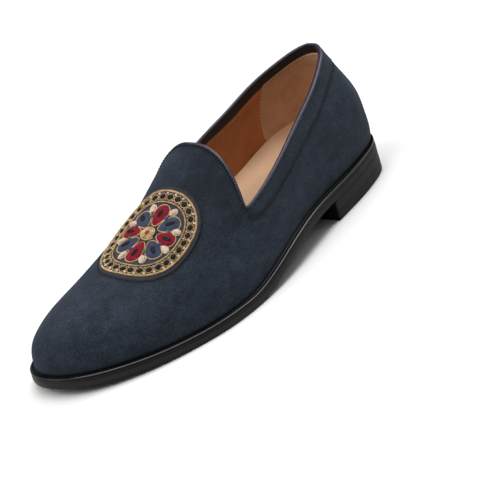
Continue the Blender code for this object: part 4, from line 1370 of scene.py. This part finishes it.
def buildBadgeBorder():
    # rope, then two crossing waves of cord that leave a chain of fields, with knots beside them
    look = badgeLook
    addBadge("badgeRope", twisted(oval(look["rope"], 400), *look["ropeTwist"]), "goldThread", False)
    low, high = look["waves"]
    fields, steps = 2 * look["waveCount"], look["waveCount"] * look["waveSteps"]
    wave = smoothStep(0, 1, np.abs(np.mod(np.arange(steps) / look["waveSteps"], 1) * 2 - 1))
    cords = [twisted(oval(look["innerCord"], 300), *look["innerTwist"])]
    for share in (wave, 1 - wave):
        cords.append(twisted(oval(low + (high - low) * share, steps), *look["waveTwist"]))
    addBadge("badgeCords", joined(cords), "goldThread", False)
    middle = oval(0.5 * (low + high), fields)
    along = unit(np.roll(middle, -1, 0) - np.roll(middle, 1, 0))
    addBadge("badgeFields", satin(middle, along, *look["field"]), "blackSilk")
    addBadge("badgeCreamKnots", knots(oval(high - 0.005, fields, 0.5), *look["creamKnot"]), "creamSilk")
    addBadge("badgeGoldKnots", knots(oval(low + 0.012, fields, 0.5), *look["goldKnot"]), "goldThread")
    count, shares, lifts, radius = look["edgeStitches"]
    rim = oval(1, count)[:, None] * np.linspace(*shares, len(lifts))[:, None]
    path, up = onBadge(rim, look["felt"] + np.array(lifts))
    addBadge("badgeEdgeStitches", tubes(path, up, radius * tapered(len(lifts), 0.2), 5), "blackSilk")


def buildBadgeMiddle():
    # petals of velvet with corded rims and dark veins, drops and knots between them, a coiled boss
    look = badgeLook
    turn = 2 * np.pi * np.arange(look["petals"]) / look["petals"]
    way, between = circle(turn), circle(turn + np.pi / look["petals"])
    reach = look["petalTo"] * np.linalg.norm(ovalHalf * way, axis=1)
    middle = way * (0.5 * (reach + look["petalFrom"]))[:, None]
    rims = [petalOutline(m, w, h) for m, w, h in zip(middle, way, 0.5 * (reach - look["petalFrom"]))]
    pads = [padded(rim, m) for rim, m in zip(rims, middle)]
    addBadge("badgePetalsCrimson", joined(pads[0::2]), "crimsonVelvet")
    addBadge("badgePetalsBlue", joined(pads[1::2]), "blueVelvet")
    cords = joined([twisted(rim, *look["petalTwist"]) for rim in rims])
    addBadge("badgePetalCords", cords, "goldThread", False)
    addBadge("badgeVeins", satin(middle + way, way, *look["vein"]), "blackSilk")
    far = between * np.linalg.norm(ovalHalf * between, axis=1)[:, None]
    addBadge("badgeCreamDrops", satin(far * look["dropAt"], between, *look["drop"]), "creamSilk")
    addBadge("badgeGreenKnots", knots((far * look["knotAt"])[0::2], *look["greenKnot"]), "greenSilk")
    addBadge("badgeBlueKnots", knots((far * look["knotAt"])[1::2], *look["blueKnot"]), "blueSilk")
    turns, start, grows, lift, dome, radius = look["boss"]
    t = np.linspace(0, 1, 260)
    high = look["felt"] + lift + dome * np.sqrt(1 - (0.24 + 0.72 * t) ** 2)
    path, up = onBadge(circle(2 * np.pi * turns * t) * (start + grows * t)[:, None], high)
    addBadge("badgeBoss", tubes(path[None], up[None], radius * tapered(len(t), 0.01), 7), "goldThread")
    addBadge("badgeHeart", knots(np.zeros((1, 2)), *look["heartKnot"]), "crimsonSilk")


buildBadgeFelt()
buildBadgeBorder()
buildBadgeMiddle()
print("badge made")

# camera at the photograph's angle, rolled so that the shoe keeps its slant in the picture
cameraLook = {
    "eye": (1478.72, 1371.61, 832.76),
    "right": (-0.59360, 0.75607, -0.27568),
    "up": (-0.47901, -0.05667, 0.87598),
    "back": (0.64668, 0.65203, 0.39580),
    "focal": 3456.55,  # in picture pixels
    "picture": 500,
    "sensor": 36,
}
studioLook = {
    "world": 0.17,
    "floor": 6.0,  # half its side in metres
    "floorTones": ((0.9, 0.9, 0.9), (0.93, 0.93, 0.93)),
    "lamps": (  # place, length and width, watts, colour
        ((1.2, -0.7, 1.0), (1.1, 0.9), 11.0, (1, 0.99, 0.97)),
        ((-0.7, -0.4, 1.7), (1.6, 0.45), 11.0, (1, 1, 1)),
        ((-0.1, 0.12, 1.8), (5.0, 0.6), 45.0, (1, 0.99, 0.98)),
        ((-1.2, 0.55, 0.8), (0.7, 0.7), 2.0, (0.98, 0.99, 1)),
    ),
}


def addThing(name, data, spot=(0, 0, 0), axes=((1, 0, 0), (0, 1, 0), (0, 0, 1))):
    # object whose right, up and back lie along the axes
    thing = bpy.data.objects.new(name, data)
    thing.matrix_world = Matrix.Translation(spot) @ Matrix(axes).transposed().to_4x4()
    bpy.context.scene.collection.objects.link(thing)
    return thing


def addCamera():
    data = bpy.data.cameras.new("camera")
    data.sensor_width = cameraLook["sensor"]
    data.lens = cameraLook["sensor"] * cameraLook["focal"] / cameraLook["picture"]
    data.clip_end = 100
    eye = (np.array(cameraLook["eye"]) - frameOrigin) * mm
    bpy.context.scene.camera = addThing("camera", data, eye, [cameraLook[k] for k in ("right", "up", "back")])


def addStudio():
    half = studioLook["floor"]
    mesh = bpy.data.meshes.new("floor")
    corners = [(x * half, y * half, 0) for x, y in ((-1, -1), (1, -1), (1, 1), (-1, 1))]
    mesh.from_pydata(corners, [], [(0, 1, 2, 3)])
    material, shader, where = newMaterial("paleFloor")
    colour = mixColour(noise(where, 400, 2, 0.55), *studioLook["floorTones"])
    feed(shader, {"Base Color": colour, "Roughness": 0.8})
    mesh.materials.append(material)
    floor = addThing("floor", mesh)
    for k, (spot, width, watts, colour) in enumerate(studioLook["lamps"]):
        data = bpy.data.lights.new("lamp%d" % k, "AREA")
        data.shape = "RECTANGLE"
        data.size, data.size_y = width
        data.energy = watts
        data.color = colour
        back = Vector(spot).normalized()
        right = (Vector((1, 0, 0)) - back * back.x).normalized()  # long side runs along the shoe
        addThing(data.name, data, spot, (right, back.cross(right), back))
    world = bpy.data.worlds.new("studio")
    world.use_nodes = True
    feed(world.node_tree.nodes["Background"], {"Color": (1, 1, 1, 1), "Strength": studioLook["world"]})
    bpy.context.scene.world = world
    bpy.context.scene.view_settings.view_transform = "Standard"


addCamera()
addStudio()
print("camera, floor and lamps made")
